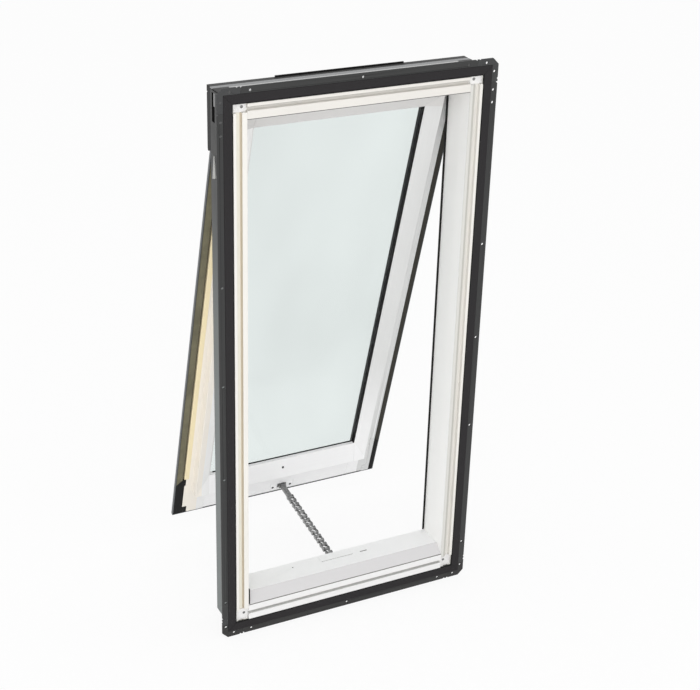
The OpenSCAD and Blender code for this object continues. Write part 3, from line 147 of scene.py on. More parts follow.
class FinishColours(bpy.types.PropertyGroup):
    """Colours of the skylight's finishes."""

    frame_paint: colour("Frame paint", "Cream white paint of the jambs", (0.81, 0.79, 0.745))
    head_paint: colour("Head paint", "Duller cream paint of the head", (0.765, 0.742, 0.70))
    # Painted light: the right reveal is whitened where it faces the light from the left.
    reveal_light: colour("Reveal paint", "Whiter paint of the right reveal", (0.93, 0.925, 0.91))
    sill_paint: colour("Sill paint", "Cooler white paint of the sill", (0.84, 0.835, 0.83))
    # Painted light from above on the top of the sill and on the operator's cover plate.
    sill_top_light: colour("Sill top", "Whiter paint on the top of the sill", (0.95, 0.95, 0.95))
    # Painted shade, brown in tone, on the shaded inner wall of the left groove.
    groove_wall_shade: colour("Bare timber", "Bare pine on a wall of the left groove", (0.60, 0.53, 0.42))
    groove_cream: colour("Groove cream", "Cream floor of the left groove", (0.84, 0.82, 0.73))
    # Painted shade on the front of the right jamb.
    jamb_shade: colour("Jamb shade", "Duller front of the right jamb", (0.66, 0.655, 0.62))
    # Painted shadow lines under the head and along the foot of the sash.
    edge_shadow: colour("Edge line", "Dark lines under the head and the sash", (0.09, 0.088, 0.085))
    # Painted shade in the corner of the sill groove; the small dot on the sill is given the same gray.
    sill_line: colour("Sill line", "Shaded corner of the sill groove, and a dot", (0.60, 0.60, 0.58))
    # Painted shade on the slope of the sill, darker than its top.
    sill_slope_shade: colour("Sill slope", "Grayer paint on the slope of the sill", (0.67, 0.66, 0.665))
    # Painted shade in the narrow cuts of the sill and in the seam of its cover plate.
    cut_shade: colour("Cut shade", "Dull gray of the narrow cuts in the sill", (0.34, 0.335, 0.32))
    # Paler painted shade in the grooves of the head and the right jamb, and beside the right groove.
    pale_cut_shade: colour("Cut light", "Paler gray at the head and right grooves", (0.50, 0.49, 0.45))
    sash_paint: colour("Sash paint", "White paint of the left stile by the glass", (0.90, 0.90, 0.895))
    # Painted light: whiter paint where the bottom of the sash is more brightly lit.
    rail_paint: colour("Rail paint", "Whiter paint at the bottom of the sash", (0.96, 0.96, 0.965))
    # Painted shade along the right stile, also laid on the strip and end piece beside it.
    stile_shade: colour("Stile gray", "Grayer paint along the right stile", (0.73, 0.735, 0.73))
    # Painted shade at the top of the sash, under the frame head.
    rail_shade: colour("Rail shade", "Grayer paint at the top of the sash", (0.66, 0.65, 0.64))
    # Painted warm reflections on the left stile: yellowish along its edge, cream on its face.
    stile_side_reflection: colour("Stile side", "Yellowish edge of the left stile", (0.92, 0.80, 0.52))
    stile_face_reflection: colour("Stile cream", "Cream face of the left stile", (0.93, 0.88, 0.80))
    flange_coat: colour("Flange coat", "Charcoal coat of the flange", (0.0265, 0.027, 0.027))
    # Painted shade on the flange and its corners along the sill.
    flange_foot_shade: colour("Flange foot", "Darker coat along the sill", (0.017, 0.0165, 0.016))
    deck_foam: colour("Deck foam", "Foam strip in the flange", (0.0215, 0.020, 0.0212))
    foam_edge: colour("Foam edge", "Shaded edge of the foam by the timber", (0.007, 0.007, 0.007))
    corner_plastic: colour("Corner plastic", "Moulded flange corners", (0.036, 0.037, 0.038))
    cover_coat: colour("Cover coat", "Dark coat of the upper side covers", (0.034, 0.036, 0.036))
    # Painted light low on the covers, as from the pale floor.
    cover_foot_light: colour("Cover foot", "Paler coat of the lower covers", (0.155, 0.173, 0.170))
    # Painted shade at the tops of the side covers and on the rims of the plugs.
    cover_top_shade: colour("Cover top", "Darkest coat, at the cheeks and plugs", (0.022, 0.022, 0.022))
    head_coat: colour("Head cover coat", "Lighter coat of the head cover", (0.29, 0.295, 0.30))
    # Painted highlight along the front strip of the head cover.
    head_highlight: colour("Head light", "Paler front strip of the head cover", (0.62, 0.62, 0.62))
    head_trim: colour("Head trim", "Black ends and far edge of the head cover", (0.010, 0.010, 0.010))
    cheek_plastic: colour("Cheek plastic", "Moulded cheeks by the hinges", (0.018, 0.018, 0.018))
    cladding_coat: colour("Cladding coat", "Gray coat of the sash cladding", (0.062, 0.068, 0.074))
    clip_white: colour("White clips", "Lining clips", (0.87, 0.86, 0.85))
    clip_gray: colour("Gray clips", "Flashing clips on the side covers", (0.40, 0.40, 0.385))
    black_plastic: colour("Black plastic", "End pieces, chain guide and case", (0.008, 0.008, 0.008))
    # Painted highlight on the upper part of the side plugs.
    plug_highlight: colour("Plug light", "Pale upper half of the side plugs", (0.36, 0.36, 0.36))
    # Painted shade: the side plugs are near black, so they read as a deep shaded slot.
    plug_slot_shade: colour("Plug black", "Deep slot of the side plugs", (0.002, 0.002, 0.002))
    seal_rubber: colour("Seal rubber", "Black seals, sill pad and rail dot", (0.011, 0.011, 0.011))
    seal_gray: colour("Gray seal", "Paler glazing seal along the left stile", (0.75, 0.75, 0.74))
    # Lit and shaded copies of the weather strip's colour: olive as it is lit on the left, then painted
    # shade for the right.
    strip_rubber: colour("Strip rubber", "Olive weather strip of the sash", (0.16, 0.148, 0.096))
    strip_shade: colour("Strip shade", "Darker weather strip on the right", (0.034, 0.032, 0.026))
    spacer_bar: colour("Spacer bar", "Bars between the panes", (0.016, 0.016, 0.017))
    pane_tint: colour("Pane tint", "Tint of each pane", (0.885, 0.915, 0.908))
    zinc: colour("Zinc", "Zinc plated hinges and pins", (0.52, 0.52, 0.51))
    screw_zinc: colour("Screw zinc", "Duller screws of clips and covers", (0.286, 0.286, 0.2805))
    bracket_zinc: colour("Bracket zinc", "Dark screws of the bracket", (0.0832, 0.0832, 0.0816))
    chain_steel: colour("Chain steel", "Dark steel of the chain and bracket", (0.235, 0.235, 0.235))
    pin_steel: colour("Pin steel", "Brighter steel of the chain pins", (0.3525, 0.3525, 0.3525))


class EdgeSizes(bpy.types.PropertyGroup):
    """Roundings of the edges."""

    timber: length("Timber", "Rounding of the painted timber", 0.9 * MM)
    rail: length("Rail", "Rounding of the sash rails", 0.54 * MM)
    sill: length("Sill", "Rounding of the sill", 0.35 * MM)
    plate: length("Plate", "Rounding of the operator's cover plate", 0.3 * MM)
    sheet: length("Sheet", "Rounding of folded sheet metal", 0.45 * MM)
    moulded: length("Moulded", "Rounding of moulded pieces", 0.35 * MM)
    foam: length("Foam", "Rounding of the foam strip", 0.15 * MM)
    rubber: length("Rubber", "Rounding of the weather strips", 0.3 * MM)
    steel: length("Steel", "Rounding of pressed steel", 0.25 * MM)
    fine: length("Fine", "Rounding of pins, glazing seals and thin pieces", 0.2 * MM)
    screw: length("Screw", "Rounding of small screws", 0.1 * MM)


class TrimSizes(bpy.types.PropertyGroup):
    """Sizes of the sill pad and of the stile bead."""

    pad_t: length("Pad thickness", "How far the pad stands off the jamb", 3.4 * MM)
    pad_d: length("Pad depth", "Depth of the pad", 5.0 * MM)
    pad_back: length("Pad setback", "Front of the sill to the front of the pad", 1.4 * MM)
    pad_rise: length("Pad rise", "Top of the sill up to the top of the pad", 18.0 * MM)
    pad_drop: length("Pad drop", "Top of the sill down to the foot of the pad", 19.6 * MM)
    bead_w: length("Bead width", "Side of the stile to the far side of the bead", 3.9 * MM)
    bead_d: length("Bead depth", "Depth of the bead", 2.4 * MM)
    bead_lap: length("Bead lap", "How far the bead is let into the stile", 0.2 * MM)
    bead_back: length("Bead setback", "Front of the weather strip to the front of the bead", 0.1 * MM)
    ease: length("Ease", "Broken edges of the pad and the bead", 0.5 * MM)


class ChainSizes(bpy.types.PropertyGroup):
    """Sizes of the push chain."""

    link_n: IntProperty(name="Links", description="Inner and outer links by turns", default=18, min=2)
    plate_h: length("Plate height", "Height of the link plates at the pins", 11 * MM)
    waist_h: length("Plate waist", "Height of the link plates between the pins", 6.6 * MM)
    plate_t: length("Plate thickness", "Thickness of the link plates", 2 * MM)
    bush_w: length("Bush width", "Width between the inner plates", 6.4 * MM)
    bush_r: length("Bush radius", "Radius of the bushes", 3.6 * MM)
    pin_r: length("Pin radius", "Radius of the riveted pins", 1.9 * MM)
    rivet_r: length("Rivet radius", "Radius of the rivet heads", 2.128 * MM)
    rivet_h: length("Rivet height", "Height of the rivet heads", 0.7 * MM)
    rivet_ease: length("Rivet ease", "Height of the crown of the heads and of their seat", 0.2 * MM)
    slack: length("Slack", "Clearance between inner and outer plates", 0.35 * MM)
    bar_l: length("Bar length", "Plain bar at the sash end", 46 * MM)
    bar_h: length("Bar height", "Height of the plain bar at its ends", 8.8 * MM)
    bar_waist: length("Bar waist", "Height of the plain bar between its ends", 8.668 * MM)
    chamfer: length("Chamfer", "Broken edges of plates and bar", 0.4 * MM)
    stack: length("Stack", "Room left to the drawn-in links when the sash is shut", 1.5 * MM)
    clear: length("Clear", "Gap between the outlet pin and the drawn-in links", 3.2 * MM)


class StageLight(bpy.types.PropertyGroup):
    """Light and floor of the studio."""

    ambient: FloatProperty(name="Ambient", description="Strength of the even light", default=0.83, min=0.0)
    key: power("Key", "Power of the large lamp in front", 28.0)
    fill: power("Fill", "Power of the low lamp in front", 31.0)
    side: power("Side", "Power of the lamp on the left", 9.0)
    floor: colour("Floor", "Pale floor", (0.94, 0.94, 0.94))
    floor_glow: FloatProperty(name="Floor glow", description="Share of plain white in the floor as seen",
                              default=0.88, min=0.0, max=1.0, subtype="FACTOR")
    floor_reach: length("Floor reach", "Radius of the floor", 30.0)


class Finish:
    """One procedural material while its nodes are laid."""

    # Places of the colour sockets on a Mix node
    MIX_FIRST, MIX_SECOND, MIX_RESULT = 6, 7, 2

    def __init__(self, name):
        self.material = bpy.data.materials.new(name)
        self.material.use_nodes = True
        self.tree = self.material.node_tree
        self.shader = self.tree.nodes["Principled BSDF"]

    def node(self, kind, **settings):
        """A new node with its settings."""
        made = self.tree.nodes.new(kind)
        for key, value in settings.items():
            setattr(made, key, value)
        return made

    def feed(self, socket, value):
        """Links a socket to an output of another node, or sets it to a plain value."""
        if isinstance(value, bpy.types.NodeSocket):
            self.tree.links.new(value, socket)
        else:
            socket.default_value = value

    def seat(self):
        """Coordinates of the piece in metres."""
        return self.node("ShaderNodeTexCoord").outputs["Object"]

    def place(self, stretch=(1.0, 1.0, 1.0), turn=UPRIGHT):
        """Coordinates of the piece, turned and stretched."""
        turned = self.node("ShaderNodeMapping", vector_type="POINT")
        self.feed(turned.inputs["Rotation"], turn)
        self.feed(turned.inputs["Vector"], self.seat())
        scaled = self.node("ShaderNodeMapping", vector_type="POINT")
        self.feed(scaled.inputs["Scale"], stretch)
        self.feed(scaled.inputs["Vector"], turned.outputs["Vector"])
        return scaled.outputs["Vector"]

    def axes(self):
        """Coordinates of the piece as separate outputs X, Y and Z."""
        split = self.node("ShaderNodeSeparateXYZ")
        self.feed(split.inputs[0], self.seat())
        return split.outputs

    def noise(self, vector, scale, detail=2.0, rough=0.5):
        """Soft clouds, or streaks where the coordinates are stretched."""
        made = self.node("ShaderNodeTexNoise")
        self.feed(made.inputs["Scale"], scale)
        self.feed(made.inputs["Detail"], detail)
        self.feed(made.inputs["Roughness"], rough)
        self.feed(made.inputs["Vector"], vector)
        return made.outputs["Fac"]

    def cells(self, vector, scale):
        """Small cells, as distances from their middles."""
        made = self.node("ShaderNodeTexVoronoi")
        self.feed(made.inputs["Scale"], scale)
        self.feed(made.inputs["Vector"], vector)
        return made.outputs["Distance"]

    def span(self, value, low, high, start=0.3, end=0.7):
        """The value's stretch from start to end, spread between low and high."""
        made = self.node("ShaderNodeMapRange")
        self.feed(made.inputs["From Min"], start)
        self.feed(made.inputs["From Max"], end)
        self.feed(made.inputs["To Min"], low)
        self.feed(made.inputs["To Max"], high)
        self.feed(made.inputs["Value"], value)
        return made.outputs["Result"]

    def shades(self, value, tint, dark, light, start=0.3, end=0.7):
        """The tint made darker and lighter by the value."""
        made = self.node("ShaderNodeValToRGB")
        for stop, position, share in zip(made.color_ramp.elements, (start, end), (dark, light)):
            stop.position = position
            stop.color = [min(1.0, c * share) for c in tint] + [1.0]
        self.feed(made.inputs["Fac"], value)
        return made.outputs["Color"]

    def mix(self, share, first, second):
        """Two colours mixed by a value or a fixed share."""
        made = self.node("ShaderNodeMix", data_type="RGBA")
        self.feed(made.inputs["Factor"], share)
        for place, source in ((self.MIX_FIRST, first), (self.MIX_SECOND, second)):
            plain = not isinstance(source, bpy.types.NodeSocket)
            self.feed(made.inputs[place], (*source, 1.0) if plain else source)
        return made.outputs[self.MIX_RESULT]

    def math(self, operation, *values):
        """The result of one sum on values."""
        made = self.node("ShaderNodeMath", operation=operation)
        for value, socket in zip(values, made.inputs):
            self.feed(socket, value)
        return made.outputs[0]

    def inside(self, fold="", **ranges):
        """One inside a box of ranges along X, Y and Z, mirrored at the middle of the axis in fold."""
        axes = self.axes()
        held = 1.0
        for axis, (low, high) in ranges.items():
            value = axes[axis]
            if axis == fold:
                value = self.math("ABSOLUTE", value)
            near = self.math("COMPARE", value, (low + high) / 2, (high - low) / 2)
            held = self.math("MULTIPLY", near, held)
        return held

    def faded(self, source, tint, start, end):
        """The colour turning into the tint from one height to another."""
        return self.mix(self.span(self.axes()["Z"], 0.0, 1.0, start, end), source, tint)

    def marked(self, source, marks):
        """The colour with other tints inside boxes, each given as (tint, box)."""
        for tint, box in marks:
            source = self.mix(self.inside(**box), source, tint)
        return source

    def paint(self, source):
        """Gives the shader its colour."""
        self.feed(self.shader.inputs["Base Color"], source)

    def rough(self, source):
        """Gives the shader its roughness."""
        self.feed(self.shader.inputs["Roughness"], source)

    def bump(self, height, distance, strength):
        """Gives the shader a fine relief."""
        made = self.node("ShaderNodeBump")
        self.feed(made.inputs["Strength"], strength)
        self.feed(made.inputs["Distance"], distance)
        self.feed(made.inputs["Height"], height)
        self.feed(self.shader.inputs["Normal"], made.outputs["Normal"])

    def set(self, **values):
        """Plain values of the shader, given by socket name with underscores."""
        for key, value in values.items():
            self.feed(self.shader.inputs[key.replace("_", " ")], value)
        return self.material


def painted_timber(name, tint, stretch, turn, marks=(), fade=()):
    """Satin paint on planed timber: brush marks along the grain, soft clouding, faint pores."""
    finish = Finish(name)
    cloud = finish.noise(finish.place(), scale=7.0, detail=3.0)
    brush = finish.noise(finish.place(stretch, turn), scale=900.0, detail=4.0, rough=0.6)
    short = [0.35 * s for s in stretch]
    grain = finish.noise(finish.place(short, turn), scale=700.0, detail=6.0, rough=0.7)
    clouded = finish.shades(cloud, tint, dark=0.965, light=1.03)
    streaked = finish.shades(brush, tint, dark=0.95, light=1.03)
    coat = finish.mix(share=0.45, first=clouded, second=streaked)
    if fade:
        coat = finish.faded(coat, *fade)
    finish.paint(finish.marked(coat, marks))
    finish.rough(finish.span(brush, low=0.36, high=0.5))
    finish.bump(finish.math("ADD", brush, grain), distance=0.12 * MM, strength=0.55)
    return finish.set(Coat_Weight=0.12, Coat_Roughness=0.3)


def coated_sheet(name, tint, rough=0.42, gloss=0.5, marks=(), fade=()):
    """Baked coat on aluminium sheet: orange peel, slight drift in tone, rubbed patches."""
    finish = Finish(name)
    seat = finish.place()
    drift = finish.noise(seat, scale=4.0, detail=4.0, rough=0.55)
    peel = finish.noise(seat, scale=1500.0)
    toned = finish.shades(drift, tint, dark=0.9, light=1.1)
    flecked = finish.shades(peel, tint, dark=0.82, light=1.18)
    coat = finish.mix(share=0.35, first=toned, second=flecked)
    if fade:
        coat = finish.faded(coat, *fade)
    finish.paint(finish.marked(coat, marks))
    finish.rough(finish.span(drift, low=rough - 0.06, high=rough + 0.08))
    finish.bump(peel, distance=0.06 * MM, strength=0.5)
    return finish.set(Metallic=0.5 * gloss, Specular_IOR_Level=gloss,
                      Coat_Weight=0.3 * gloss, Coat_Roughness=0.35)


def moulded_plastic(name, tint, rough=0.5, gloss=0.45, marks=()):
    """Moulded plastic with a spark-eroded grain."""
    finish = Finish(name)
    seat = finish.place()
    grain = finish.cells(seat, scale=1800.0)
    drift = finish.noise(seat, scale=18.0, detail=3.0)
    finish.paint(finish.marked(finish.shades(drift, tint, dark=0.88, light=1.12), marks))
    finish.rough(finish.span(grain, low=rough - 0.08, high=rough + 0.1, start=0.0))
    finish.bump(grain, distance=0.08 * MM, strength=0.5)
    return finish.set(Specular_IOR_Level=gloss)


def foam_strip(name, tint, marks=()):
    """Closed-cell foam: fine open pores on a dull black face."""
    finish = Finish(name)
    seat = finish.place()
    pores = finish.cells(seat, scale=850.0)
    lumps = finish.noise(seat, scale=140.0, detail=3.0)
    coat = finish.shades(pores, tint, dark=0.6, light=1.25, start=0.05, end=0.6)
    finish.paint(finish.marked(coat, marks))
    finish.rough(finish.span(pores, low=0.75, high=0.95, start=0.0))
    finish.bump(finish.math("ADD", pores, lumps), distance=0.3 * MM, strength=0.7)
    return finish.set(Specular_IOR_Level=0.25)


def rubber(name, tint, rough=0.55, marks=()):
    """Extruded rubber: dull bloom and fine lines along the profile."""
    finish = Finish(name)
    bloom = finish.noise(finish.place(), scale=26.0, detail=4.0, rough=0.6)
    lines = finish.noise(finish.place(RUBBER_LINES, SWUNG), scale=1400.0)
    finish.paint(finish.marked(finish.shades(bloom, tint, dark=0.8, light=1.2), marks))
    finish.rough(finish.span(bloom, low=rough - 0.08, high=rough + 0.12))
    finish.bump(lines, distance=0.08 * MM, strength=0.5)
    return finish.set(Specular_IOR_Level=0.15)


def pane_glass(name, tint):
    """Float glass with a pale tint that drifts a little over the pane as soft painted reflections."""
    finish = Finish(name)
    # Painted reflection: soft clouds of lighter and darker tint.
    drift = finish.noise(finish.place(stretch=(1.0, 0.6, 0.6), turn=SWUNG), scale=3.4, rough=0.45)
    finish.paint(finish.shades(drift, tint, dark=0.965, light=1.02, start=0.32, end=0.68))
    return finish.set(Roughness=0.0, IOR=1.1, Transmission_Weight=1.0)


def plated_steel(name, tint, rough=0.36):
    """Zinc plate: brushed streaks and a faint crystal spangle."""
    finish = Finish(name)
    streak = finish.noise(finish.place(stretch=(0.05, 1.0, 1.0)), scale=2200.0, detail=3.0)
    spangle = finish.cells(finish.place(), scale=260.0)
    finish.paint(finish.shades(spangle, tint, dark=0.85, light=1.1, start=0.1, end=0.6))
    finish.rough(finish.span(streak, low=rough - 0.08, high=rough + 0.12))
    finish.bump(streak, distance=0.03 * MM, strength=0.5)
    return finish.set(Metallic=1.0)


def worn_steel(name, tint):
    """Oiled dark steel of the chain, rubbed brighter in patches."""
    finish = Finish(name)
    seat = finish.place()
    patch = finish.noise(seat, scale=170.0, detail=4.0, rough=0.65)
    grit = finish.noise(seat, scale=2600.0)
    finish.paint(finish.shades(patch, tint, dark=0.6, light=1.7))
    finish.rough(finish.span(patch, low=0.48, high=0.3))
    finish.bump(grit, distance=0.05 * MM, strength=0.6)
    return finish.set(Metallic=0.85)


def round_edges(piece, width):
    """Rounds the hard edges of a solid, whose mesh itself stays as it is."""
    weld = piece.modifiers.new("weld", "WELD")
    weld.merge_threshold = WELD_GAP
    bevel = piece.modifiers.new("round", "BEVEL")
    bevel.width = width
    bevel.segments = EDGE_STEPS
    bevel.limit_method = "ANGLE"
    bevel.angle_limit = SHARP_ANGLE
    bevel.use_clamp_overlap = False
    bevel.miter_outer = "MITER_ARC"
    normal = piece.modifiers.new("normals", "WEIGHTED_NORMAL")
    normal.keep_sharp = True


def dress(names, material, width=0.0):
    """Gives solids their finish and, where a width is given, rounded edges."""
    for name in names:
        piece = NODES[name]
        piece.data.materials.clear()
        piece.data.materials.append(material)
        if width:
            round_edges(piece, width)


def both(stem):
    """Names of a left and a right node."""
    return [f"{stem}_left", f"{stem}_right"]


def new_piece(name, mesh, material, body):
    """A piece from a bmesh, with its finish, riding on a body."""
    data = bpy.data.meshes.new(name)
    bmesh.ops.recalc_face_normals(mesh, faces=mesh.faces)
    mesh.to_mesh(data)
    mesh.free()
    data.materials.append(material)
    piece = bpy.data.objects.new(name, data)
    bpy.context.scene.collection.objects.link(piece)
    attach(piece, body)
    return piece


def shut_box(name):
    """Lowest and highest corner of a sash node when the sash is shut."""
    back = SWING.inverted()
    points = [back @ v.co for v in NODES[name].data.vertices]
    return (Vector(min(p[i] for p in points) for i in range(3)),
            Vector(max(p[i] for p in points) for i in range(3)))


def loft(mesh, rings, matrix=Matrix.Identity(4)):
    """Joins rings of equal point counts into a closed skin with end caps."""
    made = [[mesh.verts.new(matrix @ Vector(p)) for p in ring] for ring in rings]
    count = len(made[0])
    for low, high in zip(made, made[1:]):
        for i in range(count):
            j = (i + 1) % count
            mesh.faces.new((low[i], low[j], high[j], high[i]))
    mesh.faces.new(made[0][::-1])
    mesh.faces.new(made[-1])


def plate_outline(pitch, height, waist, steps=10):
    """Points along and across a waisted link plate between two pins."""
    radius = height / 2
    start = math.asin(waist / height)
    turn = [start + (2 * math.pi - 2 * start) * i / steps for i in range(steps + 1)]
    near = [(radius * math.cos(a), radius * math.sin(a)) for a in turn]
    far = [(pitch - y, -z) for y, z in near]
    return near + far


def add_plate(mesh, matrix, x, thick, pitch, height, waist, chamfer):
    """One link plate with broken edges, its inner face at x."""
    small = plate_outline(pitch, height - 2 * chamfer, waist - 2 * chamfer)
    full = plate_outline(pitch, height, waist)
    stations = ((x, small), (x + chamfer, full), (x + thick - chamfer, full), (x + thick, small))
    loft(mesh, [[(at, y, z) for y, z in outline] for at, outline in stations], matrix)


def add_round(mesh, matrix, stations, y, steps=20):
    """A turned shape across the chain from (x, radius) stations."""
    turn = [2 * math.pi * i / steps for i in range(steps)]
    rings = [[(x, y + r * math.cos(a), r * math.sin(a)) for a in turn] for x, r in stations]
    loft(mesh, rings, matrix)


def chain_frame():
    """Matrix of the chain at rest, its length, and its length when the sash is shut."""
    low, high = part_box("bracket_pin")
    pin = (low + high) / 2
    run = pin - OUTLET
    shut = (SWING.inverted() @ pin - OUTLET).length
    slope = math.atan2(run.z, run.y)
    return Matrix.Translation(OUTLET) @ Matrix.Rotation(slope, 4, "X"), run.length, shut


def light_path(tree):
    """One for rays from the camera, from gloss and through glass, else nothing."""
    path = tree.nodes.new("ShaderNodeLightPath")
    seen = path.outputs["Is Camera Ray"]
    for name in ("Is Glossy Ray", "Is Transmission Ray"):
        most = tree.nodes.new("ShaderNodeMath")
        most.operation = "MAXIMUM"
        tree.links.new(seen, most.inputs[0])
        tree.links.new(path.outputs[name], most.inputs[1])
        seen = most.outputs[0]
    return seen


class SKYLIGHT_OT_stage(bpy.types.Operator):
    """Camera of the photograph, pale floor, even studio light"""

    bl_idname = "skylight.stage"
    bl_label = "Stage"

    def camera(self, scene):
        """Camera at the photograph's viewing angle."""
        data = bpy.data.cameras.new("photo_camera")
        data.sensor_width = SENSOR
        data.lens = FOCAL_PIXELS * SENSOR / IMAGE_WIDTH
        data.clip_start = CLIP_NEAR
        data.clip_end = CLIP_FAR
        camera = bpy.data.objects.new("photo_camera", data)
        turn = Matrix((CAMERA_RIGHT, -CAMERA_DOWN, -CAMERA_FORWARD)).transposed()
        camera.matrix_world = Matrix.Translation(CAMERA_PLACE) @ turn.to_4x4()
        scene.collection.objects.link(camera)
        scene.camera = camera

    def world(self, scene, light):
        """Even light all round, plain white where it is seen."""
        world = bpy.data.worlds.new("studio")
        world.use_nodes = True
        tree = world.node_tree
        even = tree.nodes["Background"]
        even.inputs["Color"].default_value = WHITE
        even.inputs["Strength"].default_value = light.ambient
        white = tree.nodes.new("ShaderNodeBackground")
        white.inputs["Color"].default_value = WHITE
        white.inputs["Strength"].default_value = 1.0
        mix = tree.nodes.new("ShaderNodeMixShader")
        tree.links.new(light_path(tree), mix.inputs["Fac"])
        tree.links.new(even.outputs[0], mix.inputs[1])
        tree.links.new(white.outputs[0], mix.inputs[2])
        tree.links.new(mix.outputs[0], tree.nodes["World Output"].inputs["Surface"])
        scene.world = world

    def floor_paint(self, light):
        """Pale matt floor that is seen as nearly plain white and keeps a soft shadow."""
        finish = Finish("pale_floor")
        speck = finish.noise(finish.place(), scale=60.0, detail=3.0)
        finish.paint(finish.shades(speck, light.floor, dark=0.99, light=1.01))
        finish.set(Roughness=0.9, Specular_IOR_Level=0.1)
        glow = finish.node("ShaderNodeEmission")
        finish.feed(glow.inputs["Strength"], 1.0)
        mix = finish.node("ShaderNodeMixShader")
        finish.feed(mix.inputs["Fac"], finish.math("MULTIPLY", light_path(finish.tree), light.floor_glow))
        finish.feed(mix.inputs[1], finish.shader.outputs[0])
        finish.feed(mix.inputs[2], glow.outputs[0])
        finish.feed(finish.tree.nodes["Material Output"].inputs["Surface"], mix.outputs[0])
        return finish.material

    def floor(self, scene, light):
        """Round floor just below the part."""
        mesh = bmesh.new()
        bmesh.ops.create_circle(mesh, cap_ends=True, segments=96, radius=light.floor_reach)
        data = bpy.data.meshes.new("floor")
        mesh.to_mesh(data)
        mesh.free()
        data.materials.append(self.floor_paint(light))
        floor = bpy.data.objects.new("floor", data)
        floor.location.z = CAD_BOX[0].z - FLOOR_GAP
        scene.collection.objects.link(floor)

    def lamp(self, scene, name, place, size, watts):
        """A round lamp that faces the part and isn't seen itself, nor through glass."""
        data = bpy.data.lights.new(name, "AREA")
        data.shape = "DISK"
        data.size = size
        data.energy = watts
        lamp = bpy.data.objects.new(name, data)
        lamp.location = place
        lamp.rotation_euler = (LAMP_AIM - place).to_track_quat("-Z", "Y").to_euler()
        lamp.visible_camera = False
        lamp.visible_transmission = False
        scene.collection.objects.link(lamp)

    def execute(self, context):
        scene = context.scene
        light = scene.skylight_light
        scene.view_settings.view_transform = "Standard"
        self.camera(scene)
        self.world(scene, light)
        self.floor(scene, light)
        for name, place, size in LAMPS:
            self.lamp(scene, name, place, size, getattr(light, name))
        return {"FINISHED"}


class SKYLIGHT_OT_frame_timber(bpy.types.Operator):
    """Cream paint on the jambs, head and sill"""

    bl_idname = "skylight.frame_timber"
    bl_label = "Frame timber"

    # Depths of the lining grooves and of the front face, in metres
    groove = (0.0, 0.012)
    front = (-0.002, 0.0004)

    def jamb_paint(self, tints):
        """Paint of both jambs, with a cream tint and painted shade in their grooves, painted shade on the
        front of the right jamb, and painted light on the right reveal.
        """
        left_floor = {"X": (-0.2502, -0.2411), "Y": self.groove}
        # Brown painted shade on the inner wall of the left groove.
        left_wall = {"X": (-0.2411, -0.2388), "Y": self.groove}
        # Painted shade on the wall of the right groove.
        right_wall = {"X": (0.2388, 0.2420), "Y": self.groove}
        # Painted shade on the front of the right jamb, darker just beside its groove.
        right_front = {"X": (0.2280, 0.2345), "Y": self.front}
        right_edge = {"X": (0.2345, 0.2388), "Y": self.front}
        # Painted light on the right reveal.
        right_reveal = {"X": (0.2265, 0.2385), "Y": (0.0006, 0.0780)}
        marks = [(tints.groove_cream, left_floor), (tints.groove_wall_shade, left_wall),
                 (tints.pale_cut_shade, right_wall), (tints.jamb_shade, right_front),
                 (tints.pale_cut_shade, right_edge), (tints.reveal_light, right_reveal)]
        return painted_timber("jamb_paint", tints.frame_paint, GRAIN_UP, UPRIGHT, marks)

    def head_paint(self, tints):
        """Paint of the head, with painted shade in its groove and a painted shadow line under its front."""
        # Painted shade in the groove under the head's bead.
        floor = {"Z": (0.5464, 0.5497), "Y": self.groove}
        # Painted shadow line under the front of the head.
        line = {"Z": (0.5230, 0.5270), "Y": (-0.002, 0.003)}
        marks = [(tints.pale_cut_shade, floor), (tints.edge_shadow, line)]
        return painted_timber("head_paint", tints.head_paint, GRAIN_ACROSS, UPRIGHT, marks)

    def sill_paint(self, tints):
        """Paint of the sill, with painted light on its top, painted shade on its slope and in its groove,
        slot and foot line, and a gray dot.
        """
        near_top = (-0.504, -0.4998)
        # Painted light on the top of the sill.
        top = {"Z": (-0.5006, -0.4990), "Y": (0.0202, 0.0800)}
        # Painted shade in the line at the foot of the slope and in the slot on the top.
        foot = {"Z": (-0.5209, -0.5191), "Y": (-0.002, 0.004)}
        slot = {"X": (0.0568, 0.0732), "Y": (0.0538, 0.0566), "Z": near_top}
        # Painted shade on the slope of the sill.
        slope = {"Z": (-0.5190, -0.4995), "Y": (-0.002, 0.0202)}
        # Painted shade in the corner of the sill groove, then the gray dot.
        corner = {"Z": (-0.5422, -0.5402), "Y": self.groove}
        dot = {"X": (-0.1038, -0.1002), "Y": (0.0582, 0.0618), "Z": near_top}
        marks = [(tints.sill_top_light, top), (tints.cut_shade, foot), (tints.cut_shade, slot),
                 (tints.sill_slope_shade, slope), (tints.sill_line, corner), (tints.sill_line, dot)]
        return painted_timber("sill_paint", tints.sill_paint, GRAIN_ACROSS, UPRIGHT, marks)

    def plate_paint(self, tints):
        """Paint of the operator's cover plate, in the painted light of the sill's top, with painted shade
        in its seam.
        """
        # Painted shade in the seam of the cover plate.
        seam = {"Y": (0.0530, 0.0548)}
        marks = [(tints.cut_shade, seam)]
        return painted_timber("plate_paint", tints.sill_top_light, GRAIN_ACROSS, UPRIGHT, marks)

    def execute(self, context):
        tints = context.scene.skylight_colours
        edges = context.scene.skylight_edges
        dress(both("frame_jamb"), self.jamb_paint(tints), edges.timber)
        dress(["frame_head", "head_bead"], self.head_paint(tints), edges.timber)
        sill = self.sill_paint(tints)
        dress(["frame_sill"], sill, edges.sill)
        dress(["sill_bead"], sill, edges.timber)
        dress(["operator_cover"], self.plate_paint(tints), edges.plate)
        return {"FINISHED"}


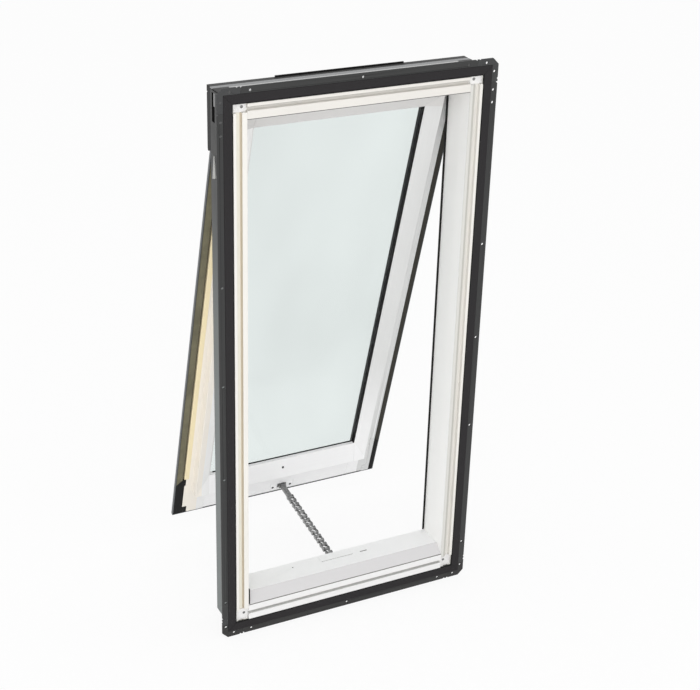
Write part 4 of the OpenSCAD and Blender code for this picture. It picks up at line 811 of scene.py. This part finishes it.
class SKYLIGHT_OT_flange(bpy.types.Operator):
    """Charcoal flange, moulded corners, the foam strip and the lining clips"""

    bl_idname = "skylight.flange"
    bl_label = "Flange"

    def execute(self, context):
        tints = context.scene.skylight_colours
        edges = context.scene.skylight_edges
        # Painted shade on the flange and its corners along the sill.
        foot = [(tints.flange_foot_shade, {"Z": (-0.60, -0.555)})]
        coat = coated_sheet("flange_coat", tints.flange_coat, rough=0.46, marks=foot)
        dress(both("flange") + ["flange_head", "flange_sill"], coat, edges.moulded)
        corner = moulded_plastic("corner_plastic", tints.corner_plastic, marks=foot)
        dress(["flange_corners"], corner, edges.moulded)
        beside_jambs = {"fold": "X", "X": (0.2555, 0.2585), "Z": (-0.558, 0.558)}
        beside_ends = {"fold": "Z", "X": (-0.2585, 0.2585), "Z": (0.5545, 0.558)}
        shaded = [(tints.foam_edge, box) for box in (beside_jambs, beside_ends)]
        dress(["deck_seal"], foam_strip("deck_foam", tints.deck_foam, shaded), edges.foam)
        clip = moulded_plastic("white_plastic", tints.clip_white, rough=0.4)
        dress(["lining_clips"], clip, edges.moulded)
        return {"FINISHED"}


class SKYLIGHT_OT_covers(bpy.types.Operator):
    """Coated covers, cheeks and flashing clips round the frame"""

    bl_idname = "skylight.covers"
    bl_label = "Frame covers"

    def execute(self, context):
        tints = context.scene.skylight_colours
        edges = context.scene.skylight_edges
        # Painted shade at the top of the side covers; lower down they fade to painted light, as from the
        # pale floor.
        top = {"Z": (0.4444, 0.6)}
        fade_start, fade_end = 0.36, -0.05
        coat = coated_sheet("cover_coat", tints.cover_coat, gloss=0.3, marks=[(tints.cover_top_shade, top)],
                            fade=(tints.cover_foot_light, fade_start, fade_end))
        dress(both("side_cover") + ["sill_cover"], coat, edges.sheet)
        # Painted highlight along the front strip of the head cover.
        strip = {"Y": (0.030, 0.0655)}
        ends = {"fold": "X", "X": (0.237, 0.270), "Y": (0.0, 0.068)}
        far_edge = {"Y": (0.0800, 0.0980)}
        marks = [(tints.head_highlight, strip), (tints.head_trim, ends), (tints.head_trim, far_edge)]
        head = coated_sheet("head_coat", tints.head_coat, gloss=0.15, marks=marks)
        dress(["head_cover"], head, edges.sheet)
        cheek = moulded_plastic("cheek_plastic", tints.cheek_plastic, gloss=0.2)
        dress(both("hinge_cheek"), cheek, edges.moulded)
        dress(["side_clips"], moulded_plastic("gray_plastic", tints.clip_gray), edges.moulded)
        return {"FINISHED"}


class SKYLIGHT_OT_sash_timber(bpy.types.Operator):
    """White paint on the stiles and rails of the sash, and the bead of the right stile"""

    bl_idname = "skylight.sash_timber"
    bl_label = "Sash timber"

    def left_paint(self, tints, top):
        """Paint of the left stile with painted warm reflections, creamy on its face and yellowish along its
        edge.
        """
        # Painted warm reflections of the cream frame on the left stile.
        face = {"X": (-0.2400, -0.1990)}
        side = {"X": (-0.2400, -0.2240), "Z": (-0.412, 0.6)}
        marks = [(tints.stile_face_reflection, face), (tints.stile_side_reflection, side), top]
        return painted_timber("left_stile_paint", tints.sash_paint, GRAIN_UP, SWUNG, marks)

    def right_paint(self, tints, top, foot):
        """Paint of the right stile in painted shade, kept along its edge, turning to painted light towards
        its foot.
        """
        # Painted shade kept along the outer edge of the right stile, low down.
        edge = {"X": (0.2100, 0.2360), "Z": (-0.52, -0.1)}
        marks = [(tints.stile_shade, edge), foot, top]
        # The right stile fades from its painted shade to the rail's painted light towards its foot.
        fade_start, fade_end = -0.15, -0.38
        return painted_timber("right_stile_paint", tints.stile_shade, GRAIN_UP, SWUNG, marks,
                              fade=(tints.rail_paint, fade_start, fade_end))

    def rail_paint(self, tints, foot):
        """Paint of the bottom rail, whitened as painted light, with a small dark dot in its middle."""
        middle = SWING @ Vector((0.0, 0.0637, -0.4616))
        half_w, half_h = 2.5 * MM, 2.7 * MM
        dot = {"X": (-half_w, half_w), "Z": (middle.z - half_h, middle.z + half_h)}
        marks = [(tints.seal_rubber, dot), foot]
        return painted_timber("rail_paint", tints.rail_paint, GRAIN_ACROSS, SWUNG, marks)

    def stile_bead(self, size, material):
        """Painted bead that fills the gap between the right stile and its weather strip."""
        strip_low, strip_high = shut_box("weather_strip")
        side = shut_box("sash_stile_right")[1].x
        ease = size.ease
        near, far = side - size.bead_lap, side + size.bead_w
        front = strip_low.y + size.bead_back
        back = front + size.bead_d
        plan = [(near, front), (far - ease, front), (far, front + ease), (far, back), (near, back)]
        mesh = bmesh.new()
        loft(mesh, [[(x, y, z) for x, y in plan] for z in (strip_low.z, strip_high.z)], SWING)
        bead = new_piece("stile_bead", mesh, material, "sash")

    def execute(self, context):
        tints = context.scene.skylight_colours
        edges = context.scene.skylight_edges
        # Painted shade at the tops of the stiles.
        top = (tints.rail_shade, {"Z": (0.4790, 0.6)})
        # Painted shadow line along the foot of the sash.
        foot = (tints.edge_shadow, {"Z": (-0.5145, -0.5118)})
        dress(["sash_stile_left"], self.left_paint(tints, top), edges.timber)
        right = self.right_paint(tints, top, foot)
        dress(["sash_stile_right"], right, edges.timber)
        self.stile_bead(context.scene.skylight_trim, right)
        # The head rail carries painted shade all over.
        head = painted_timber("head_rail_paint", tints.rail_shade, GRAIN_ACROSS, SWUNG)
        dress(["sash_head_rail"], head, edges.rail)
        rail = self.rail_paint(tints, foot)
        dress(["sash_bottom_rail"], rail, edges.rail)
        dress(["bracket_plate"], rail, edges.fine)
        return {"FINISHED"}


class SKYLIGHT_OT_cladding(bpy.types.Operator):
    """Gray metal on the weather side of the sash"""

    bl_idname = "skylight.cladding"
    bl_label = "Sash cladding"

    def execute(self, context):
        coat = coated_sheet("cladding_coat", context.scene.skylight_colours.cladding_coat, rough=0.38)
        names = both("sash_cladding") + ["sash_cladding_head", "sash_cladding_sill"]
        dress(names, coat, context.scene.skylight_edges.sheet)
        return {"FINISHED"}


class SKYLIGHT_OT_glazing(bpy.types.Operator):
    """Tinted panes and the bars between them"""

    bl_idname = "skylight.glazing"
    bl_label = "Glazing"

    def execute(self, context):
        tints = context.scene.skylight_colours
        dress(["inner_pane", "outer_pane"], pane_glass("pane_glass", tints.pane_tint))
        bars = moulded_plastic("spacer_black", tints.spacer_bar, rough=0.45)
        dress(["spacer_bar"], bars, context.scene.skylight_edges.fine)
        return {"FINISHED"}


class SKYLIGHT_OT_seals(bpy.types.Operator):
    """Rubber seals, weather strips, the sill pad and black moulded pieces"""

    bl_idname = "skylight.seals"
    bl_label = "Seals and black pieces"

    def sill_pad(self, size, material):
        """Rubber pad on the left jamb where it meets the slope of the sill."""
        low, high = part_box("frame_sill")
        ease = size.ease
        x, front = low.x, low.y + size.pad_back
        side, back = x + size.pad_t, front + size.pad_d
        plan = [(x, front), (side - ease, front), (side, front + ease), (side, back - ease),
                (side - ease, back), (x, back)]
        small = [(min(px, side - ease), min(max(py, front + ease), back - ease)) for px, py in plan]
        foot = high.z - size.pad_drop - front
        top = high.z + size.pad_rise
        rings = [[(px, py, foot + py) for px, py in plan],
                 [(px, py, top - ease) for px, py in plan],
                 [(px, py, top) for px, py in small]]
        mesh = bmesh.new()
        loft(mesh, rings)
        pad = new_piece("sill_pad", mesh, material, "frame")

    def rubbers(self, tints, edges, trim):
        """Seals round the opening and the panes, weather strips and the sill pad."""
        seal = rubber("seal_rubber", tints.seal_rubber)
        left = {"X": (-0.25, -0.17)}
        inner = rubber("glazing_rubber", tints.seal_rubber, marks=[(tints.seal_gray, left)])
        dress(["glazing_seal"], inner, edges.fine)
        dress(["outer_glazing_seal"], seal, edges.fine)
        dress(["frame_seal"], seal)
        # Painted shade on the right weather strip.
        right = {"X": (0.0, 0.3)}
        # The inner edge of the right weather strip takes the stile's painted shade.
        by_stile = {"X": (0.2380, 0.2420)}
        marks = [(tints.strip_shade, right), (tints.stile_shade, by_stile)]
        strip = rubber("strip_rubber", tints.strip_rubber, rough=0.45, marks=marks)
        dress(["weather_strip"], strip, edges.rubber)
        self.sill_pad(trim, seal)

    def plastics(self, tints, edges):
        """End pieces of the sash, chain guide, operator case and side plugs."""
        black = moulded_plastic("black_plastic", tints.black_plastic, rough=0.42, gloss=0.12)
        dress(["sash_end_left", "chain_guide", "operator_case"], black, edges.moulded)
        # The inner part of the right end piece takes the stile's painted shade.
        by_stile = {"X": (0.2220, 0.2420)}
        end = moulded_plastic("right_end_plastic", tints.black_plastic, rough=0.42, gloss=0.12,
                              marks=[(tints.stile_shade, by_stile)])
        dress(["sash_end_right"], end, edges.moulded)
        # The plugs' rims take the covers' painted shade, with a painted highlight on their upper part; the
        # slot itself is near-black painted shade.
        rim = {"Y": (0.0580, 0.0636)}
        upper_rim = {**rim, "Z": (0.5365, 0.562)}
        plug = moulded_plastic("plug_plastic", tints.plug_slot_shade, rough=0.6, gloss=0.0,
                               marks=[(tints.cover_top_shade, rim), (tints.plug_highlight, upper_rim)])
        dress(["side_plugs"], plug, edges.moulded)

    def execute(self, context):
        tints = context.scene.skylight_colours
        edges = context.scene.skylight_edges
        self.rubbers(tints, edges, context.scene.skylight_trim)
        self.plastics(tints, edges)
        return {"FINISHED"}


class SKYLIGHT_OT_hardware(bpy.types.Operator):
    """Hinges, pins, screws and the chain bracket"""

    bl_idname = "skylight.hardware"
    bl_label = "Hardware"

    def execute(self, context):
        tints = context.scene.skylight_colours
        edges = context.scene.skylight_edges
        zinc = plated_steel("zinc_plate", tints.zinc)
        dress(["frame_hinge_leaves", "sash_hinge_leaves"], zinc, edges.steel)
        dress(["hinge_pins", "outlet_pin", "bracket_pin", "hinge_screws"], zinc, edges.fine)
        dull = plated_steel("screw_steel", tints.screw_zinc, rough=0.4)
        dress(["lining_clip_screws", "cover_screws"], dull, edges.screw)
        dark = plated_steel("bracket_screw_steel", tints.bracket_zinc, rough=0.4)
        dress(["bracket_screws"], dark, edges.screw)
        dress(["chain_bracket"], worn_steel("bracket_steel", tints.chain_steel), edges.steel)
        return {"FINISHED"}


class SKYLIGHT_OT_chain(bpy.types.Operator):
    """Push chain of waisted plates, bushes and riveted pins, with a plain bar at the sash"""

    bl_idname = "skylight.chain"
    bl_label = "Push chain"

    def links(self, size, seat, pitch):
        """Plates of all links, inner and outer by turns."""
        mesh = bmesh.new()
        inner = size.bush_w / 2
        outer = inner + size.plate_t + size.slack
        mirror = Matrix.Diagonal((-1.0, 1.0, 1.0, 1.0))
        for i in range(size.link_n):
            here = seat @ Matrix.Translation((0.0, i * pitch, 0.0))
            x = outer if i % 2 else inner
            for side in (here, here @ mirror):
                add_plate(mesh, side, x, size.plate_t, pitch, size.plate_h, size.waist_h, size.chamfer)
        return mesh

    def pins(self, size, seat, pitch):
        """Bushes between the inner plates and pins riveted over the outer ones."""
        mesh = bmesh.new()
        inner = size.bush_w / 2
        bush = [(-inner, size.bush_r), (inner, size.bush_r)]
        face = inner + 2 * size.plate_t + size.slack
        crown = face + size.rivet_h
        head = [(crown, 0.5 * size.rivet_r), (crown - size.rivet_ease, 0.9 * size.rivet_r),
                (face, size.rivet_r), (face - size.rivet_ease, size.pin_r)]
        pin = [(-x, r) for x, r in head] + head[::-1]
        for i in range(size.link_n + 1):
            if i < size.link_n:
                add_round(mesh, seat, bush, i * pitch)
            if i:
                add_round(mesh, seat, pin, i * pitch)
        return mesh

    def bar(self, size, seat, pitch):
        """Plain bar with round ends from the last pin to the bracket pin."""
        mesh = bmesh.new()
        half = size.bush_w / 2 + size.plate_t
        here = seat @ Matrix.Translation((-half, size.link_n * pitch, 0.0))
        add_plate(mesh, here, 0.0, 2 * half, size.bar_l, size.bar_h, size.bar_waist, size.chamfer)
        return mesh

    def draw_in(self, size, axis, run, shut, links, pins, bar):
        """Gives the links, pins and bar each a mesh of their own."""
        for piece in (links, pins):
            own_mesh(piece)
        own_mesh(bar)

    def execute(self, context):
        size = context.scene.skylight_chain
        tints = context.scene.skylight_colours
        seat, run, shut = chain_frame()
        pitch = (run - size.bar_l) / size.link_n
        steel = worn_steel("chain_steel", tints.chain_steel)
        bright = worn_steel("pin_steel", tints.pin_steel)
        links = new_piece("chain_links", self.links(size, seat, pitch), steel, "chain")
        pins = new_piece("chain_pins", self.pins(size, seat, pitch), bright, "chain")
        bar = new_piece("chain_bar", self.bar(size, seat, pitch), steel, "chain")
        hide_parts("push_chain")
        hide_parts("chain_end_bar")
        self.draw_in(size, seat.to_3x3() @ Vector((0.0, 1.0, 0.0)), run, shut, links, pins, bar)
        return {"FINISHED"}


OPERATORS = (
    SKYLIGHT_OT_stage,
    SKYLIGHT_OT_frame_timber,
    SKYLIGHT_OT_flange,
    SKYLIGHT_OT_covers,
    SKYLIGHT_OT_sash_timber,
    SKYLIGHT_OT_cladding,
    SKYLIGHT_OT_glazing,
    SKYLIGHT_OT_seals,
    SKYLIGHT_OT_hardware,
    SKYLIGHT_OT_chain,
)
SETTINGS = {
    "skylight_colours": FinishColours,
    "skylight_edges": EdgeSizes,
    "skylight_trim": TrimSizes,
    "skylight_chain": ChainSizes,
    "skylight_light": StageLight,
}


class SKYLIGHT_PT_looks(bpy.types.Panel):
    """Lists the pieces and the settings of the skylight"""

    bl_idname = "SKYLIGHT_PT_looks"
    bl_label = "Roof Skylight"
    bl_space_type = "VIEW_3D"
    bl_region_type = "UI"
    bl_category = "Skylight"

    def draw(self, context):
        column = self.layout.column(align=True)
        for operator in OPERATORS:
            column.operator(operator.bl_idname)
        for group in SETTINGS:
            box = self.layout.box()
            held = getattr(context.scene, group)
            for name in held.__annotations__:
                box.prop(held, name)


CLASSES = (*SETTINGS.values(), *OPERATORS, SKYLIGHT_PT_looks)


def register():
    """Registers the classes and hangs the settings on the scene."""
    for made in CLASSES:
        bpy.utils.register_class(made)
    for name, group in SETTINGS.items():
        setattr(bpy.types.Scene, name, PointerProperty(type=group))


def unregister():
    """Takes the settings off the scene and unregisters the classes."""
    for name in SETTINGS:
        delattr(bpy.types.Scene, name)
    for made in reversed(CLASSES):
        bpy.utils.unregister_class(made)


def main():
    """Makes the stage and every piece."""
    register()
    for operator in OPERATORS:
        getattr(bpy.ops.skylight, operator.bl_idname.split(".")[1])()


if __name__ == "__main__":
    main()
